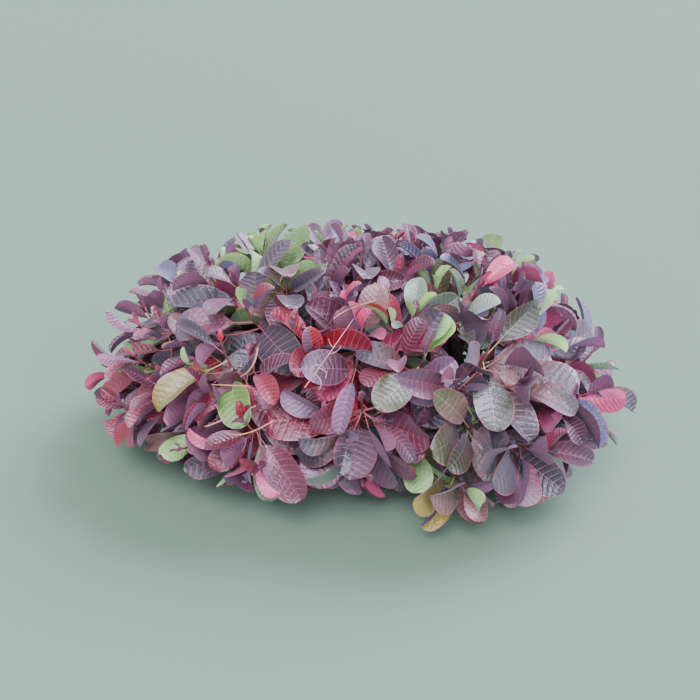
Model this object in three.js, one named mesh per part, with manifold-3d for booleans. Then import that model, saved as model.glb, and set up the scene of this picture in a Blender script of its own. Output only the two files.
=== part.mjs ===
// Royal purple smoke bush: a low, dense mound of leaves on one short stem.
//
// Millimetres, +Z up. The origin is the middle of the flat cut under the stem, at ground level.
// +X is the plant's right as its viewer sees it and -Y is the side that faces the viewer.
//
// A short trunk carries one bough for each mass of foliage. Every mass grows by one rule from
// the end of its bough: a stem, shoots that fan out from it to the crown's surface, and leaves
// in a spiral round each shoot, small and upright at its tip, large and spreading below.

import * as THREE from "three";
import { mergeVertices } from "three/addons/utils/BufferGeometryUtils.js";
import Module from "manifold-3d";

const wasm = await Module();
wasm.setup();

const degrees = THREE.MathUtils.degToRad;
const UP = new THREE.Vector3(0, 0, 1);
const RIGHT = new THREE.Vector3(1, 0, 0);
const UPRIGHT_SINE = 0.2;

// The crown is a dome above its widest level and a shallow skirt below it
const CROWN_HALF_WIDTH = 308;
const CROWN_HALF_DEPTH = 232;
const CROWN_WIDEST_LEVEL = 92;
const CROWN_RISE = 156;
const CROWN_SKIRT = 88;

// Facets of the limbs: sides round each one and steps along it
const TRUNK_FACETS = { sides: 14, steps: 10 };
const BOUGH_FACETS = { sides: 7, steps: 5 };
const STEM_FACETS = { sides: 6, steps: 2 };
const SHOOT_FACETS = { sides: 3, steps: 4 };

// Points of a mesh nearer to each other than this are one point
const SAME_POINT = 1e-5;

// Clear space between the solids, and over the ground
const SEAT_GAP = 0.3;
const CELL_MARGIN = 0.35;
const LIMB_CLEARANCE = 1.3;
const BEAD_SPACING = 2.5;
const GROUND_CLEARANCE = 4;

// Trunk
const TRUNK_HEIGHT = 66;
const TRUNK_LEAN = new THREE.Vector3(5, -3, 0);
const TRUNK_FOOT_RADIUS = 11;
const TRUNK_FORK_RADIUS = 8.2;
const TRUNK_FLARE = 6;
const TRUNK_FLARE_HEIGHT = 9;
const TRUNK_ROUNDING_START = 0.86;
const TRUNK_ROUNDING = 3.2;

// Boughs and the stems that they hand over to
const BOUGH_BASE_RADIUS = 3.5;
const BOUGH_TIP_RADIUS = 2.6;
const STEM_END_RADIUS = 2.3;
const BOUGH_OUTWARD_SHARE = 0.6;
const BOUGH_UPWARD_SHARE = 0.25;
const BOUGH_ENTRY_MARGIN = 5;
const BOUGH_SHORTEST_SHARE = 0.45;
const BOUGH_SEARCH_STEPS = 60;

// Shoots
const PLACE_COUNT = 900;
const PLACES_PER_SHOOT = 10;
const FEWEST_SHOOTS = 5;
const PLACE_TOP_CROWDING = 1.35;
const SHOOT_WALL_MARGIN = 20;
const SHOOT_TIP_SHARE = 0.86;
const SHOOT_TIP_SCATTER = 0.05;
const SHOOT_LOWEST_SINE = -0.5;
const SHOOT_BASE_RADIUS = 2.2;
const SHOOT_TIP_RADIUS = 1.3;
const SHOOT_OUTWARD_PULL = 0.7;
const SHOOT_UPWARD_PULL = 0.6;
const SHOOT_SWAY = 0.16;
const SHOOT_BOW = 0.45;
const GOLDEN_TURN = Math.PI * (3 - Math.sqrt(5));
const PLACE_SEED = 1000;
const LEAF_SEED = 5000;

// Leaves, whose length runs from the twig to the leaf's tip, stalk included
const LEAVES_PER_SHOOT = 8;
const LEAF_LENGTH = 89;
const LEAF_WIDTH_SHARE = 0.56;
const LEAF_TRIES = 24;
const LEAF_LEANS = 4;
const LEAF_LEAN_STEP = 0.19;
const LEAF_NUDGE = degrees(17);
const LEAF_SHRINK = 0.016;
const LEAF_SIZE_SCATTER = 0.1;
const LEAF_TURN_SCATTER = degrees(14);
const LEAF_ANGLE_SCATTER = degrees(11);
const FULL_GROWN_LEAF = 5.2;
const LOWEST_NODE_SHARE = 0.08;
const YOUNG_LEAF_SHARE = 0.46;
const FIRST_NODE = 4;
const NODE_SPACING = 7;
const NODE_SPACING_GROWTH = 1.22;
const TIP_LEAF_ANGLE = degrees(24);
const SPREAD_LEAF_ANGLE = degrees(84);
const LEAF_LIGHT_PULL = 0.35;

// Half of a leaf's outline, as shares of its length along it and of its width across it
const LEAF_SHOULDER = { along: 0.44, across: 0.46, rise: 0.02 };
const LEAF_BROADEST = { along: 0.8, across: 0.45, rise: -0.015 };
const LEAF_TIP_DROP = 0.08;
const LEAF_FOLD = { along: 0.6, drop: 0.042 };
const LEAF_KEEL = { along: 0.14, drop: 0.036 };

// Rings of foliage masses, from the skirt of the crown to its top. A mass is found from its
// turn round the crown, its lift over the widest level and its share of the crown's reach.
const RINGS = [
  {
    names: ["right", "back_right", "back", "back_left", "left", "front_left", "front", "front_right"],
    lift: degrees(8),
    share: 0.68,
    hubLift: degrees(3),
    hubShare: 0.5,
    forkHeights: [35, 46],
  },
  {
    names: ["upper_right", "upper_back", "upper_left", "upper_front"],
    lift: degrees(52),
    share: 0.66,
    hubLift: degrees(54),
    hubShare: 0.42,
    forkHeights: [57],
  },
  {
    names: ["crown"],
    lift: degrees(90),
    share: 0.64,
    hubLift: degrees(90),
    hubShare: 0.42,
    forkHeights: [60],
  },
];

// How far some masses grow past the dome, or fall short of it
const MASS_REACH = {
  left: 1.02,
  front_left: 0.99,
  front: 0.92,
  front_right: 1.07,
  right: 0.98,
  upper_left: 1.03,
  upper_back: 0.97,
  crown: 0.97,
};

const FOLIAGE_COLOURS = {
  right: 0x4a3748,
  back_right: 0x53384a,
  back: 0x5a4450,
  back_left: 0x60394a,
  left: 0x74323f,
  front_left: 0x6e2c3f,
  front: 0x5d3a4d,
  front_right: 0x4b3a44,
  upper_right: 0x5b3550,
  upper_back: 0x6a5a52,
  upper_left: 0x575468,
  upper_front: 0x7a2c40,
  crown: 0x6b7550,
};
const BARK_COLOUR = 0x7a5f4e;
const BARK_ROUGHNESS = 0.85;
const LEAF_ROUGHNESS = 0.5;

// Repeatable scatter: the same seed always gives the same run of numbers from 0 to 1
function scatterFrom(seed) {
  let state = (seed * 7919 + 12345) % 2147483647;
  const next = () => {
    state = (state * 48271) % 2147483647;
    return state / 2147483647;
  };
  next();
  next();
  return next;
}

function crownPoint(turn, lift, share) {
  const vertical = Math.sin(lift) > 0 ? CROWN_RISE : CROWN_SKIRT;
  return new THREE.Vector3(
    CROWN_HALF_WIDTH * share * Math.cos(lift) * Math.cos(turn),
    CROWN_HALF_DEPTH * share * Math.cos(lift) * Math.sin(turn),
    CROWN_WIDEST_LEVEL + vertical * share * Math.sin(lift),
  );
}

// Outward direction of the crown's surface at a point on or inside it
function crownOutward(point) {
  const level = point.z - CROWN_WIDEST_LEVEL;
  const vertical = level > 0 ? CROWN_RISE : CROWN_SKIRT;
  return new THREE.Vector3(
    point.x / CROWN_HALF_WIDTH ** 2,
    point.y / CROWN_HALF_DEPTH ** 2,
    level / vertical ** 2,
  ).normalize();
}

function closedSolid(geometry) {
  geometry.deleteAttribute("normal");
  geometry.deleteAttribute("uv");
  const merged = mergeVertices(geometry, SAME_POINT);
  return new wasm.Manifold(
    new wasm.Mesh({
      numProp: 3,
      vertProperties: new Float32Array(merged.attributes.position.array),
      triVerts: new Uint32Array(merged.index.array),
    }),
  );
}

function fuse(solids) {
  let round = solids;
  while (round.length > 1) {
    const joined = [];
    for (let i = 0; i < round.length; i += 2) {
      joined.push(i + 1 < round.length ? round[i].add(round[i + 1]) : round[i]);
    }
    round = joined;
  }
  return round[0];
}

// The largest outer skin of a solid, which leaves out loose scraps and sealed hollows
function wholeBody(solid) {
  const bodies = solid.decompose();
  return bodies.reduce((largest, body) => (body.volume() > largest.volume() ? body : largest));
}

function meshOf(name, solid, colour, roughness) {
  const skin = solid.getMesh();
  const geometry = new THREE.BufferGeometry();
  geometry.setAttribute("position", new THREE.BufferAttribute(skin.vertProperties, 3));
  geometry.setIndex(new THREE.BufferAttribute(skin.triVerts, 1));
  geometry.computeVertexNormals();
  const material = new THREE.MeshStandardMaterial({ color: colour, roughness, metalness: 0 });
  const mesh = new THREE.Mesh(geometry, material);
  mesh.name = name;
  return mesh;
}

// A direction square to the tangent, kept steady along a limb by its reference
function squareTo(tangent, reference) {
  return reference.clone().addScaledVector(tangent, -reference.dot(tangent)).normalize();
}

// A level direction square to a limb's own, or simply the plant's right for an upright limb
function referenceFor(direction) {
  const level = new THREE.Vector3().crossVectors(direction, UP);
  return level.length() > UPRIGHT_SINE * direction.length() ? level.normalize() : RIGHT.clone();
}

// A limb is a cylinder bent along a curve, from one share of it to another, with its radius
// given by a function of the share of the limb
function limbSolid(curve, from, to, radiusAt, facets) {
  const cylinder = new THREE.CylinderGeometry(1, 1, 1, facets.sides, facets.steps);
  const places = cylinder.attributes.position;
  const reference = referenceFor(curve.getPoint(to).sub(curve.getPoint(from)));
  for (let i = 0; i < places.count; i += 1) {
    const share = places.getY(i) + 0.5;
    const t = from + (to - from) * share;
    const tangent = curve.getTangent(t);
    const across = squareTo(tangent, reference);
    const beside = new THREE.Vector3().crossVectors(across, tangent);
    const place = curve
      .getPoint(t)
      .addScaledVector(across, places.getX(i) * radiusAt(share))
      .addScaledVector(beside, places.getZ(i) * radiusAt(share));
    places.setXYZ(i, place.x, place.y, place.z);
  }
  return closedSolid(cylinder);
}

function taper(start, end) {
  return (share) => start + (end - start) * share;
}

// The trunk's line starts straight up, so that its foot is cut level
const trunkLine = new THREE.QuadraticBezierCurve3(
  new THREE.Vector3(0, 0, 0),
  new THREE.Vector3(0, 0, TRUNK_HEIGHT / 2),
  TRUNK_LEAN.clone().setZ(TRUNK_HEIGHT),
);

function trunkRadius(share) {
  const height = share * TRUNK_HEIGHT;
  const shaft = TRUNK_FOOT_RADIUS + (TRUNK_FORK_RADIUS - TRUNK_FOOT_RADIUS) * share;
  const flare = TRUNK_FLARE * Math.exp(-height / TRUNK_FLARE_HEIGHT);
  const past = Math.max(0, (share - TRUNK_ROUNDING_START) / (1 - TRUNK_ROUNDING_START));
  return shaft + flare - TRUNK_ROUNDING * past ** 2;
}

function trunkSolid(clearance) {
  return limbSolid(trunkLine, 0, 1, (share) => trunkRadius(share) + clearance, TRUNK_FACETS);
}

// One record for each mass: where its cell is centred, where its stem ends and how its bough runs
function planMasses() {
  const plans = [];
  for (const ring of RINGS) {
    ring.names.forEach((name, i) => {
      const turn = (i / ring.names.length) * 2 * Math.PI;
      const forkHeight = ring.forkHeights[i % ring.forkHeights.length];
      const start = trunkLine.getPoint(forkHeight / TRUNK_HEIGHT);
      const hub = crownPoint(turn, ring.hubLift, ring.hubShare);
      const bend = new THREE.Vector3(
        start.x + (hub.x - start.x) * BOUGH_OUTWARD_SHARE,
        start.y + (hub.y - start.y) * BOUGH_OUTWARD_SHARE,
        start.z + (hub.z - start.z) * BOUGH_UPWARD_SHARE,
      );
      plans.push({
        name,
        centre: crownPoint(turn, ring.lift, ring.share),
        hub,
        line: new THREE.QuadraticBezierCurve3(start, bend, hub),
        places: [],
      });
    });
  }
  return plans;
}

// How far inside its own cell a point lies, measured to the nearest wall. Walls stand halfway
// between the centres of the masses.
function depthInCell(point, plan, plans) {
  let depth = Infinity;
  for (const other of plans) {
    if (other !== plan) {
      const apart = other.centre.clone().sub(plan.centre);
      const middle = plan.centre.clone().add(other.centre).multiplyScalar(0.5);
      depth = Math.min(depth, middle.sub(point).dot(apart) / apart.length());
    }
  }
  return depth;
}

// A bough ends, and its mass begins, where its line has come well inside the mass's cell
function boughEnd(plan, plans) {
  const first = Math.ceil(BOUGH_SHORTEST_SHARE * BOUGH_SEARCH_STEPS);
  for (let i = first; i < BOUGH_SEARCH_STEPS; i += 1) {
    const share = i / BOUGH_SEARCH_STEPS;
    if (depthInCell(plan.line.getPoint(share), plan, plans) > BOUGH_ENTRY_MARGIN) {
      return share;
    }
  }
  throw new Error(`the bough to ${plan.name} never enters its mass`);
}

// Places where a shoot could end lie in a fine golden spiral just under the crown's surface.
// Each belongs to the mass whose cell it falls in, if it lies well inside it.
function dealPlaces(plans) {
  for (let i = 0; i < PLACE_COUNT; i += 1) {
    const scatter = scatterFrom(PLACE_SEED + i);
    const fall = ((i + 0.5) / PLACE_COUNT) ** PLACE_TOP_CROWDING;
    const lift = Math.asin(1 + (SHOOT_LOWEST_SINE - 1) * fall);
    const turn = i * GOLDEN_TURN;
    const swing = () => 2 * scatter() - 1;
    const share = SHOOT_TIP_SHARE + swing() * SHOOT_TIP_SCATTER;
    const level = crownPoint(turn, lift, share);
    const owner = plans.reduce((best, plan) =>
      plan.centre.distanceTo(level) < best.centre.distanceTo(level) ? plan : best,
    );
    const place = crownPoint(turn, lift, share * (MASS_REACH[owner.name] ?? 1));
    const depth = depthInCell(place, owner, plans);
    if (depth > SHOOT_WALL_MARGIN) {
      const sway = new THREE.Vector3(swing(), swing(), swing());
      const heading = crownOutward(place)
        .multiplyScalar(SHOOT_OUTWARD_PULL)
        .addScaledVector(UP, SHOOT_UPWARD_PULL)
        .addScaledVector(sway, SHOOT_SWAY)
        .normalize();
      owner.places.push({ number: i, tip: place, heading, depth });
    }
  }
}

// A mass takes its shoots' tips from its places: first the innermost one, and then each time
// the place that lies furthest from those already taken
function chooseTips(plan, count) {
  const tips = [plan.places.reduce((best, place) => (place.depth > best.depth ? place : best))];
  const apart = (place) => Math.min(...tips.map((tip) => tip.tip.distanceTo(place.tip)));
  while (tips.length < count) {
    tips.push(plan.places.reduce((best, place) => (apart(place) > apart(best) ? place : best)));
  }
  return tips;
}

function shootLine(hub, target) {
  const reach = target.tip.distanceTo(hub);
  const bend = target.tip.clone().addScaledVector(target.heading, -SHOOT_BOW * reach);
  return new THREE.QuadraticBezierCurve3(hub, bend, target.tip);
}

// A leaf's frame: where it leaves its shoot, the way it points and the way its upper face looks
function leafFrame(line, length, number, attempt, scatter) {
  const back = FIRST_NODE + NODE_SPACING * number ** NODE_SPACING_GROWTH;
  const t = Math.max(LOWEST_NODE_SHARE, 1 - back / length);
  const tangent = line.getTangent(t);
  const across = squareTo(tangent, referenceFor(line.getTangent(1)));
  const beside = new THREE.Vector3().crossVectors(tangent, across);
  const round = Math.floor(attempt / LEAF_LEANS);
  const nudge = Math.ceil(round / 2) * (round % 2 === 0 ? 1 : -1) * LEAF_NUDGE;
  const swing = () => 2 * scatter() - 1;
  const turn = number * GOLDEN_TURN + swing() * LEAF_TURN_SCATTER + nudge;
  const radial = across.multiplyScalar(Math.cos(turn)).addScaledVector(beside, Math.sin(turn));
  const age = Math.min(1, number / FULL_GROWN_LEAF);
  const opening = TIP_LEAF_ANGLE + (SPREAD_LEAF_ANGLE - TIP_LEAF_ANGLE) * age;
  const ease = 1 - LEAF_LEAN_STEP * (attempt % LEAF_LEANS);
  const spread = ease * (opening + swing() * LEAF_ANGLE_SCATTER);
  const pointing = tangent
    .clone()
    .multiplyScalar(Math.cos(spread))
    .addScaledVector(radial, Math.sin(spread));
  const facing = tangent
    .clone()
    .multiplyScalar(Math.sin(spread))
    .addScaledVector(radial, -Math.cos(spread))
    .addScaledVector(UP, LEAF_LIGHT_PULL);
  const ripeness = YOUNG_LEAF_SHARE + (1 - YOUNG_LEAF_SHARE) * Math.sin((age * Math.PI) / 2);
  const size = ripeness * (1 + swing() * LEAF_SIZE_SCATTER) * (1 - LEAF_SHRINK * attempt);
  return {
    root: line.getPoint(t),
    pointing,
    facing: squareTo(pointing, facing.normalize()),
    size: LEAF_LENGTH * size,
  };
}

// The eight corners of a leaf: its root, the outline round to the tip and back, the low middle
// of its folded upper face, and the keel under it
function leafCorners(frame) {
  const side = new THREE.Vector3().crossVectors(frame.facing, frame.pointing);
  const width = frame.size * LEAF_WIDTH_SHARE;
  const corner = (along, across, rise) =>
    frame.root
      .clone()
      .addScaledVector(frame.pointing, along * frame.size)
      .addScaledVector(side, across * width)
      .addScaledVector(frame.facing, rise * frame.size);
  return [
    frame.root.clone(),
    corner(LEAF_SHOULDER.along, -LEAF_SHOULDER.across, LEAF_SHOULDER.rise),
    corner(LEAF_BROADEST.along, -LEAF_BROADEST.across, LEAF_BROADEST.rise),
    corner(1, 0, -LEAF_TIP_DROP),
    corner(LEAF_BROADEST.along, LEAF_BROADEST.across, LEAF_BROADEST.rise),
    corner(LEAF_SHOULDER.along, LEAF_SHOULDER.across, LEAF_SHOULDER.rise),
    corner(LEAF_FOLD.along, 0, -LEAF_FOLD.drop),
    corner(LEAF_KEEL.along, 0, -LEAF_KEEL.drop),
  ];
}

const LONGEST_LEAF = LEAF_LENGTH * (1 + LEAF_SIZE_SCATTER);
const LEAF_RIM = 6;
const LEAF_UPPER_MIDDLE = 6;
const LEAF_UNDER_MIDDLE = 7;

// The upper face is one triangle at the root and a fan round the folded middle beyond it, and
// the under face is a fan round the keel, so only three faces meet where the root is sunk
const UPPER_FACES = [
  [0, 1, 5],
  [LEAF_UPPER_MIDDLE, 1, 2],
  [LEAF_UPPER_MIDDLE, 2, 3],
  [LEAF_UPPER_MIDDLE, 3, 4],
  [LEAF_UPPER_MIDDLE, 4, 5],
  [LEAF_UPPER_MIDDLE, 5, 1],
];
const UNDER_FACES = Array.from({ length: LEAF_RIM }, (_, i) => [
  LEAF_UNDER_MIDDLE,
  (i + 1) % LEAF_RIM,
  i,
]);

function leafSolid(corners) {
  const geometry = new THREE.BufferGeometry();
  geometry.setAttribute(
    "position",
    new THREE.Float32BufferAttribute(corners.flatMap((corner) => corner.toArray()), 3),
  );
  geometry.setIndex([...UPPER_FACES, ...UNDER_FACES].flat());
  return closedSolid(geometry);
}

function leafTriangles(corners) {
  return [...UPPER_FACES, ...UNDER_FACES].map(
    ([a, b, c]) => new THREE.Triangle(corners[a], corners[b], corners[c]),
  );
}

// Points along a limb, close enough together that nothing thin slips between them
function limbBeads(curve, from, to, radiusAt) {
  const steps = Math.ceil(curve.getPoint(to).distanceTo(curve.getPoint(from)) / BEAD_SPACING);
  return Array.from({ length: steps + 1 }, (_, i) => ({
    place: curve.getPoint(from + ((to - from) * i) / steps),
    radius: radiusAt(i / steps),
  }));
}

function touchesLimb(triangles, beads, root) {
  const nearest = new THREE.Vector3();
  return beads.some(
    (bead) =>
      bead.place.distanceTo(root) < LONGEST_LEAF + bead.radius + LIMB_CLEARANCE &&
      triangles.some((triangle) => {
        triangle.closestPointToPoint(bead.place, nearest);
        return nearest.distanceTo(bead.place) < bead.radius + LIMB_CLEARANCE;
      }),
  );
}

// Whether the rim or midrib of one leaf passes through the upper face of another
function leavesCross(one, other) {
  const ray = new THREE.Ray();
  const hit = new THREE.Vector3();
  const pierces = (edgesOf, facesOf) => {
    for (let i = 1; i < LEAF_RIM; i += 1) {
      for (const end of [(i + 1) % LEAF_RIM, LEAF_UPPER_MIDDLE]) {
        const start = edgesOf.corners[i];
        const span = edgesOf.corners[end].clone().sub(start);
        const length = span.length();
        ray.set(start, span.divideScalar(length));
        for (const [a, b, c] of UPPER_FACES) {
          const corners = facesOf.corners;
          const found = ray.intersectTriangle(corners[a], corners[b], corners[c], false, hit);
          if (found && hit.distanceTo(start) < length) {
            return true;
          }
        }
      }
    }
    return false;
  };
  if (one.root.distanceTo(other.root) > 2 * LONGEST_LEAF) {
    return false;
  }
  return pierces(one, other) || pierces(other, one);
}

function growLeaf(line, length, shoot, number, plan, plans, beads, leaves) {
  for (let attempt = 0; attempt < LEAF_TRIES; attempt += 1) {
    const scatter = scatterFrom(LEAF_SEED + shoot * LEAVES_PER_SHOOT + number);
    const frame = leafFrame(line, length, number, attempt, scatter);
    const corners = leafCorners(frame);
    const leaf = { corners, root: frame.root };
    const inCell = corners.every(
      (corner) =>
        corner.z > GROUND_CLEARANCE && depthInCell(corner, plan, plans) > CELL_MARGIN,
    );
    if (
      inCell &&
      !leaves.some((other) => leavesCross(leaf, other)) &&
      !touchesLimb(leafTriangles(corners), beads, frame.root)
    ) {
      return leaf;
    }
  }
  return null;
}

function growMass(plan, plans, end, beads) {
  const gap = SEAT_GAP / plan.line.getLength();
  const stemTaper = taper(BOUGH_TIP_RADIUS, STEM_END_RADIUS);
  const solids = [limbSolid(plan.line, end + gap, 1, stemTaper, STEM_FACETS)];
  const shootTaper = taper(SHOOT_BASE_RADIUS, SHOOT_TIP_RADIUS);
  const shootCount = Math.max(FEWEST_SHOOTS, Math.round(plan.places.length / PLACES_PER_SHOOT));
  const tips = chooseTips(plan, shootCount);
  const lines = tips.map((target) => shootLine(plan.hub, target));
  const leaves = [];
  tips.forEach((target, i) => {
    const line = lines[i];
    const length = line.getLength();
    const others = lines.filter((other) => other !== line);
    const inTheWay = [...beads, ...others.flatMap((other) => limbBeads(other, 0, 1, shootTaper))];
    solids.push(limbSolid(line, 0, 1, shootTaper, SHOOT_FACETS));
    for (let number = 0; number < LEAVES_PER_SHOOT; number += 1) {
      const leaf = growLeaf(line, length, target.number, number, plan, plans, inTheWay, leaves);
      if (leaf) {
        leaves.push(leaf);
        solids.push(leafSolid(leaf.corners));
      }
    }
  });
  return wholeBody(fuse(solids));
}

function buildPlant() {
  const plant = new THREE.Group();
  const plans = planMasses();
  dealPlaces(plans);
  const ends = plans.map((plan) => boughEnd(plan, plans));
  const boughTaper = taper(BOUGH_BASE_RADIUS, BOUGH_TIP_RADIUS);
  const beads = limbBeads(trunkLine, 0, 1, trunkRadius);
  plans.forEach((plan, i) => beads.push(...limbBeads(plan.line, 0, ends[i], boughTaper)));

  plant.add(meshOf("trunk", trunkSolid(0), BARK_COLOUR, BARK_ROUGHNESS));
  const trunkRoom = trunkSolid(SEAT_GAP);
  plans.forEach((plan, i) => {
    const limb = limbSolid(plan.line, 0, ends[i], boughTaper, BOUGH_FACETS).subtract(trunkRoom);
    plant.add(meshOf(`bough_${plan.name}`, wholeBody(limb), BARK_COLOUR, BARK_ROUGHNESS));
    const mass = growMass(plan, plans, ends[i], beads);
    plant.add(meshOf(`foliage_${plan.name}`, mass, FOLIAGE_COLOURS[plan.name], LEAF_ROUGHNESS));
  });
  return plant;
}

export default buildPlant();
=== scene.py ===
"""Royal purple smoke bush in its finished look: a low, dense mound of leaves on one short stem.

Metres, +Z up, in the frame of the solids, with the origin in the middle of the flat cut under the
stem. The plant grows here once more by the rule of its solids: a short trunk, one bough for each
mass of foliage, a stem and shoots that fan out from the bough's end to the crown's surface, and
leaves in a golden spiral round each shoot. The rule is carried on to side twigs, leaf stalks,
young leaves at the tips, and the veins and margin of each blade.
"""

import logging
import math
from collections.abc import Callable
from dataclasses import dataclass, field, replace
from enum import Enum
from functools import partial

import bpy
import numpy as np
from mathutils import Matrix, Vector, noise


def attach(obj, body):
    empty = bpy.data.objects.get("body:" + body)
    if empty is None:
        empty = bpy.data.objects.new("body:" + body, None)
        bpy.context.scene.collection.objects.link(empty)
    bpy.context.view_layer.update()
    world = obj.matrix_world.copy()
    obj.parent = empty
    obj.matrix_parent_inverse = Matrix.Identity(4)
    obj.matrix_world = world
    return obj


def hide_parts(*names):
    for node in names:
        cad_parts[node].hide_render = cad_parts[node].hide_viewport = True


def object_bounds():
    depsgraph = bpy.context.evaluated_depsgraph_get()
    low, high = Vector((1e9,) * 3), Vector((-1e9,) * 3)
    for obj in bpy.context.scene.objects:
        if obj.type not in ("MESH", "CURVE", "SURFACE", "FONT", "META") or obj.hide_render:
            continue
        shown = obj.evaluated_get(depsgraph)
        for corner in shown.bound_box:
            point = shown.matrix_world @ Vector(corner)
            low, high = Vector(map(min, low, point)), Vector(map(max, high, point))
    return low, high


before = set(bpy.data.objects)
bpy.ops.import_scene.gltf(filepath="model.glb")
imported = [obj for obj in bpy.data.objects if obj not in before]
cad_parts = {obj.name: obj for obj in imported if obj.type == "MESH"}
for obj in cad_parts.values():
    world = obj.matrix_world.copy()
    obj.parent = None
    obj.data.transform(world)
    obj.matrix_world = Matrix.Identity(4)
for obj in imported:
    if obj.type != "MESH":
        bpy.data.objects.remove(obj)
CAD_LOW, CAD_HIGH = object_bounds()

LOG = logging.getLogger("smoke_bush")
BODY = "root"
BARK_SLOT = "bark"
UP = Vector((0.0, 0.0, 1.0))
RIGHT = Vector((1.0, 0.0, 0.0))
UPRIGHT_SINE = 0.2
GOLDEN_TURN = math.pi * (3.0 - math.sqrt(5.0))

SCREEN_TOP = 255
SCREEN_TOE = 0.04045
SCREEN_SLOPE = 12.92
SCREEN_OFFSET = 0.055
SCREEN_POWER = 2.4

Colour = tuple[float, float, float]


def from_screen(red: int, green: int, blue: int) -> Colour:
    """Gives the linear colour of one that is told in screen values.

    Args:
        red: Red from 0 to 255.
        green: Green from 0 to 255.
        blue: Blue from 0 to 255.

    Returns:
        The three linear values from 0 to 1.
    """
    return tuple(
        value / SCREEN_SLOPE
        if value <= SCREEN_TOE
        else ((value + SCREEN_OFFSET) / (1.0 + SCREEN_OFFSET)) ** SCREEN_POWER
        for value in (red / SCREEN_TOP, green / SCREEN_TOP, blue / SCREEN_TOP)
    )


class Scatter:
    """Repeatable scatter: the same seed always gives the same run of numbers."""

    MODULUS = 2147483647
    FACTOR = 48271
    SEED_FACTOR = 7919
    SEED_START = 12345

    def __init__(self, seed: int) -> None:
        """Starts the run for a seed.

        Args:
            seed: Any whole number.
        """
        self.state = (seed * self.SEED_FACTOR + self.SEED_START) % self.MODULUS
        self.share()
        self.share()

    def share(self) -> float:
        """Gives the next number, from 0 to 1."""
        self.state = self.state * self.FACTOR % self.MODULUS
        return self.state / self.MODULUS

    def swing(self) -> float:
        """Gives the next number, from -1 to 1."""
        return 2.0 * self.share() - 1.0

    def between(self, low: float, high: float) -> float:
        """Gives the next number between two limits."""
        return low + (high - low) * self.share()

    def pick(self, weights: dict) -> object:
        """Picks one key of a table.

        Args:
            weights: How often each key comes.

        Returns:
            The key.
        """
        left = self.share() * sum(weights.values())
        for key, weight in weights.items():
            left -= weight
            if left <= 0.0:
                return key
        return next(reversed(weights))


# The crown and its limbs, as the solids have them


@dataclass(frozen=True)
class Crown:
    """The dome that the foliage fills, over a shallow skirt below its widest level."""

    half_width: float = 0.308
    half_depth: float = 0.232
    widest_level: float = 0.092
    rise: float = 0.156
    skirt: float = 0.088

    def point(self, turn: float, lift: float, share: float) -> Vector:
        """Finds a place in the crown.

        Args:
            turn: Angle round the crown from the plant's right.
            lift: Angle over its widest level.
            share: Share of the way from its middle to its surface.

        Returns:
            The place.
        """
        vertical = self.rise if math.sin(lift) > 0 else self.skirt
        return Vector(
            (
                self.half_width * share * math.cos(lift) * math.cos(turn),
                self.half_depth * share * math.cos(lift) * math.sin(turn),
                self.widest_level + vertical * share * math.sin(lift),
            )
        )

    def outward(self, place: Vector) -> Vector:
        """Gives the outward direction of the crown's surface.

        Args:
            place: A place on the surface or inside it.

        Returns:
            The direction.
        """
        level = place.z - self.widest_level
        vertical = self.rise if level > 0 else self.skirt
        slope = (place.x / self.half_width**2, place.y / self.half_depth**2, level / vertical**2)
        return Vector(slope).normalized()


@dataclass(frozen=True)
class LimbLine:
    """The middle line of a limb: one bow from its start, by its bend, to its end."""

    start: Vector
    bend: Vector
    end: Vector

    def at(self, share: float) -> Vector:
        """Gives the place at a share of the line."""
        rest = 1.0 - share
        return self.start * rest**2 + self.bend * (2.0 * share * rest) + self.end * share**2

    def heading(self, share: float) -> Vector:
        """Gives the direction in which the line runs at a share of it."""
        along = (self.bend - self.start) * (1.0 - share) + (self.end - self.bend) * share
        return along.normalized()

    def length(self, steps: int = 40) -> float:
        """Measures the line in short straight steps."""
        places = [self.at(i / steps) for i in range(steps + 1)]
        return sum((b - a).length for a, b in zip(places, places[1:]))

    def places(self, first: float, last: float, steps: int) -> list[Vector]:
        """Lists places at even shares between two shares of the line."""
        return [self.at(first + (last - first) * i / steps) for i in range(steps + 1)]


def square_to(heading: Vector, reference: Vector) -> Vector:
    """Gives the direction square to a heading that lies nearest to a reference."""
    return (reference - heading * reference.dot(heading)).normalized()


def reference_for(heading: Vector) -> Vector:
    """Gives a level direction square to a heading, or the plant's right for an upright one."""
    level = heading.cross(UP)
    return level.normalized() if level.length > UPRIGHT_SINE * heading.length else RIGHT.copy()


@dataclass(frozen=True)
class Ring:
    """One ring of foliage masses. Lifts are angles over the crown's widest level."""

    names: tuple[str, ...]
    lift: float
    share: float
    hub_lift: float
    hub_share: float
    fork_heights: tuple[float, ...]


RINGS = (
    Ring(
        ("right", "back_right", "back", "back_left", "left", "front_left", "front", "front_right"),
        lift=math.radians(8),
        share=0.68,
        hub_lift=math.radians(3),
        hub_share=0.5,
        fork_heights=(0.035, 0.046),
    ),
    Ring(
        ("upper_right", "upper_back", "upper_left", "upper_front"),
        lift=math.radians(52),
        share=0.66,
        hub_lift=math.radians(54),
        hub_share=0.42,
        fork_heights=(0.057,),
    ),
    Ring(
        ("crown",),
        lift=math.radians(90),
        share=0.64,
        hub_lift=math.radians(90),
        hub_share=0.42,
        fork_heights=(0.060,),
    ),
)


@dataclass(frozen=True)
class Habit:
    """How a mass of foliage grows: the usual mass by default.

    Its reach is how far it grows past the dome, or falls short of it, and its leaf reach is how far
    its leaves may stand out, as a share of the way to the crown's surface. The scale and the breadth
    of its leaves are against the usual ones. Its leaf sag is how strongly grown leaves hang outwards.
    """

    reach: float = 1.0
    leaf_reach: float = 1.07
    leaf_scale: float = 1.0
    leaf_breadth: float = 1.0
    leaf_sag: float = 0.15


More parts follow.
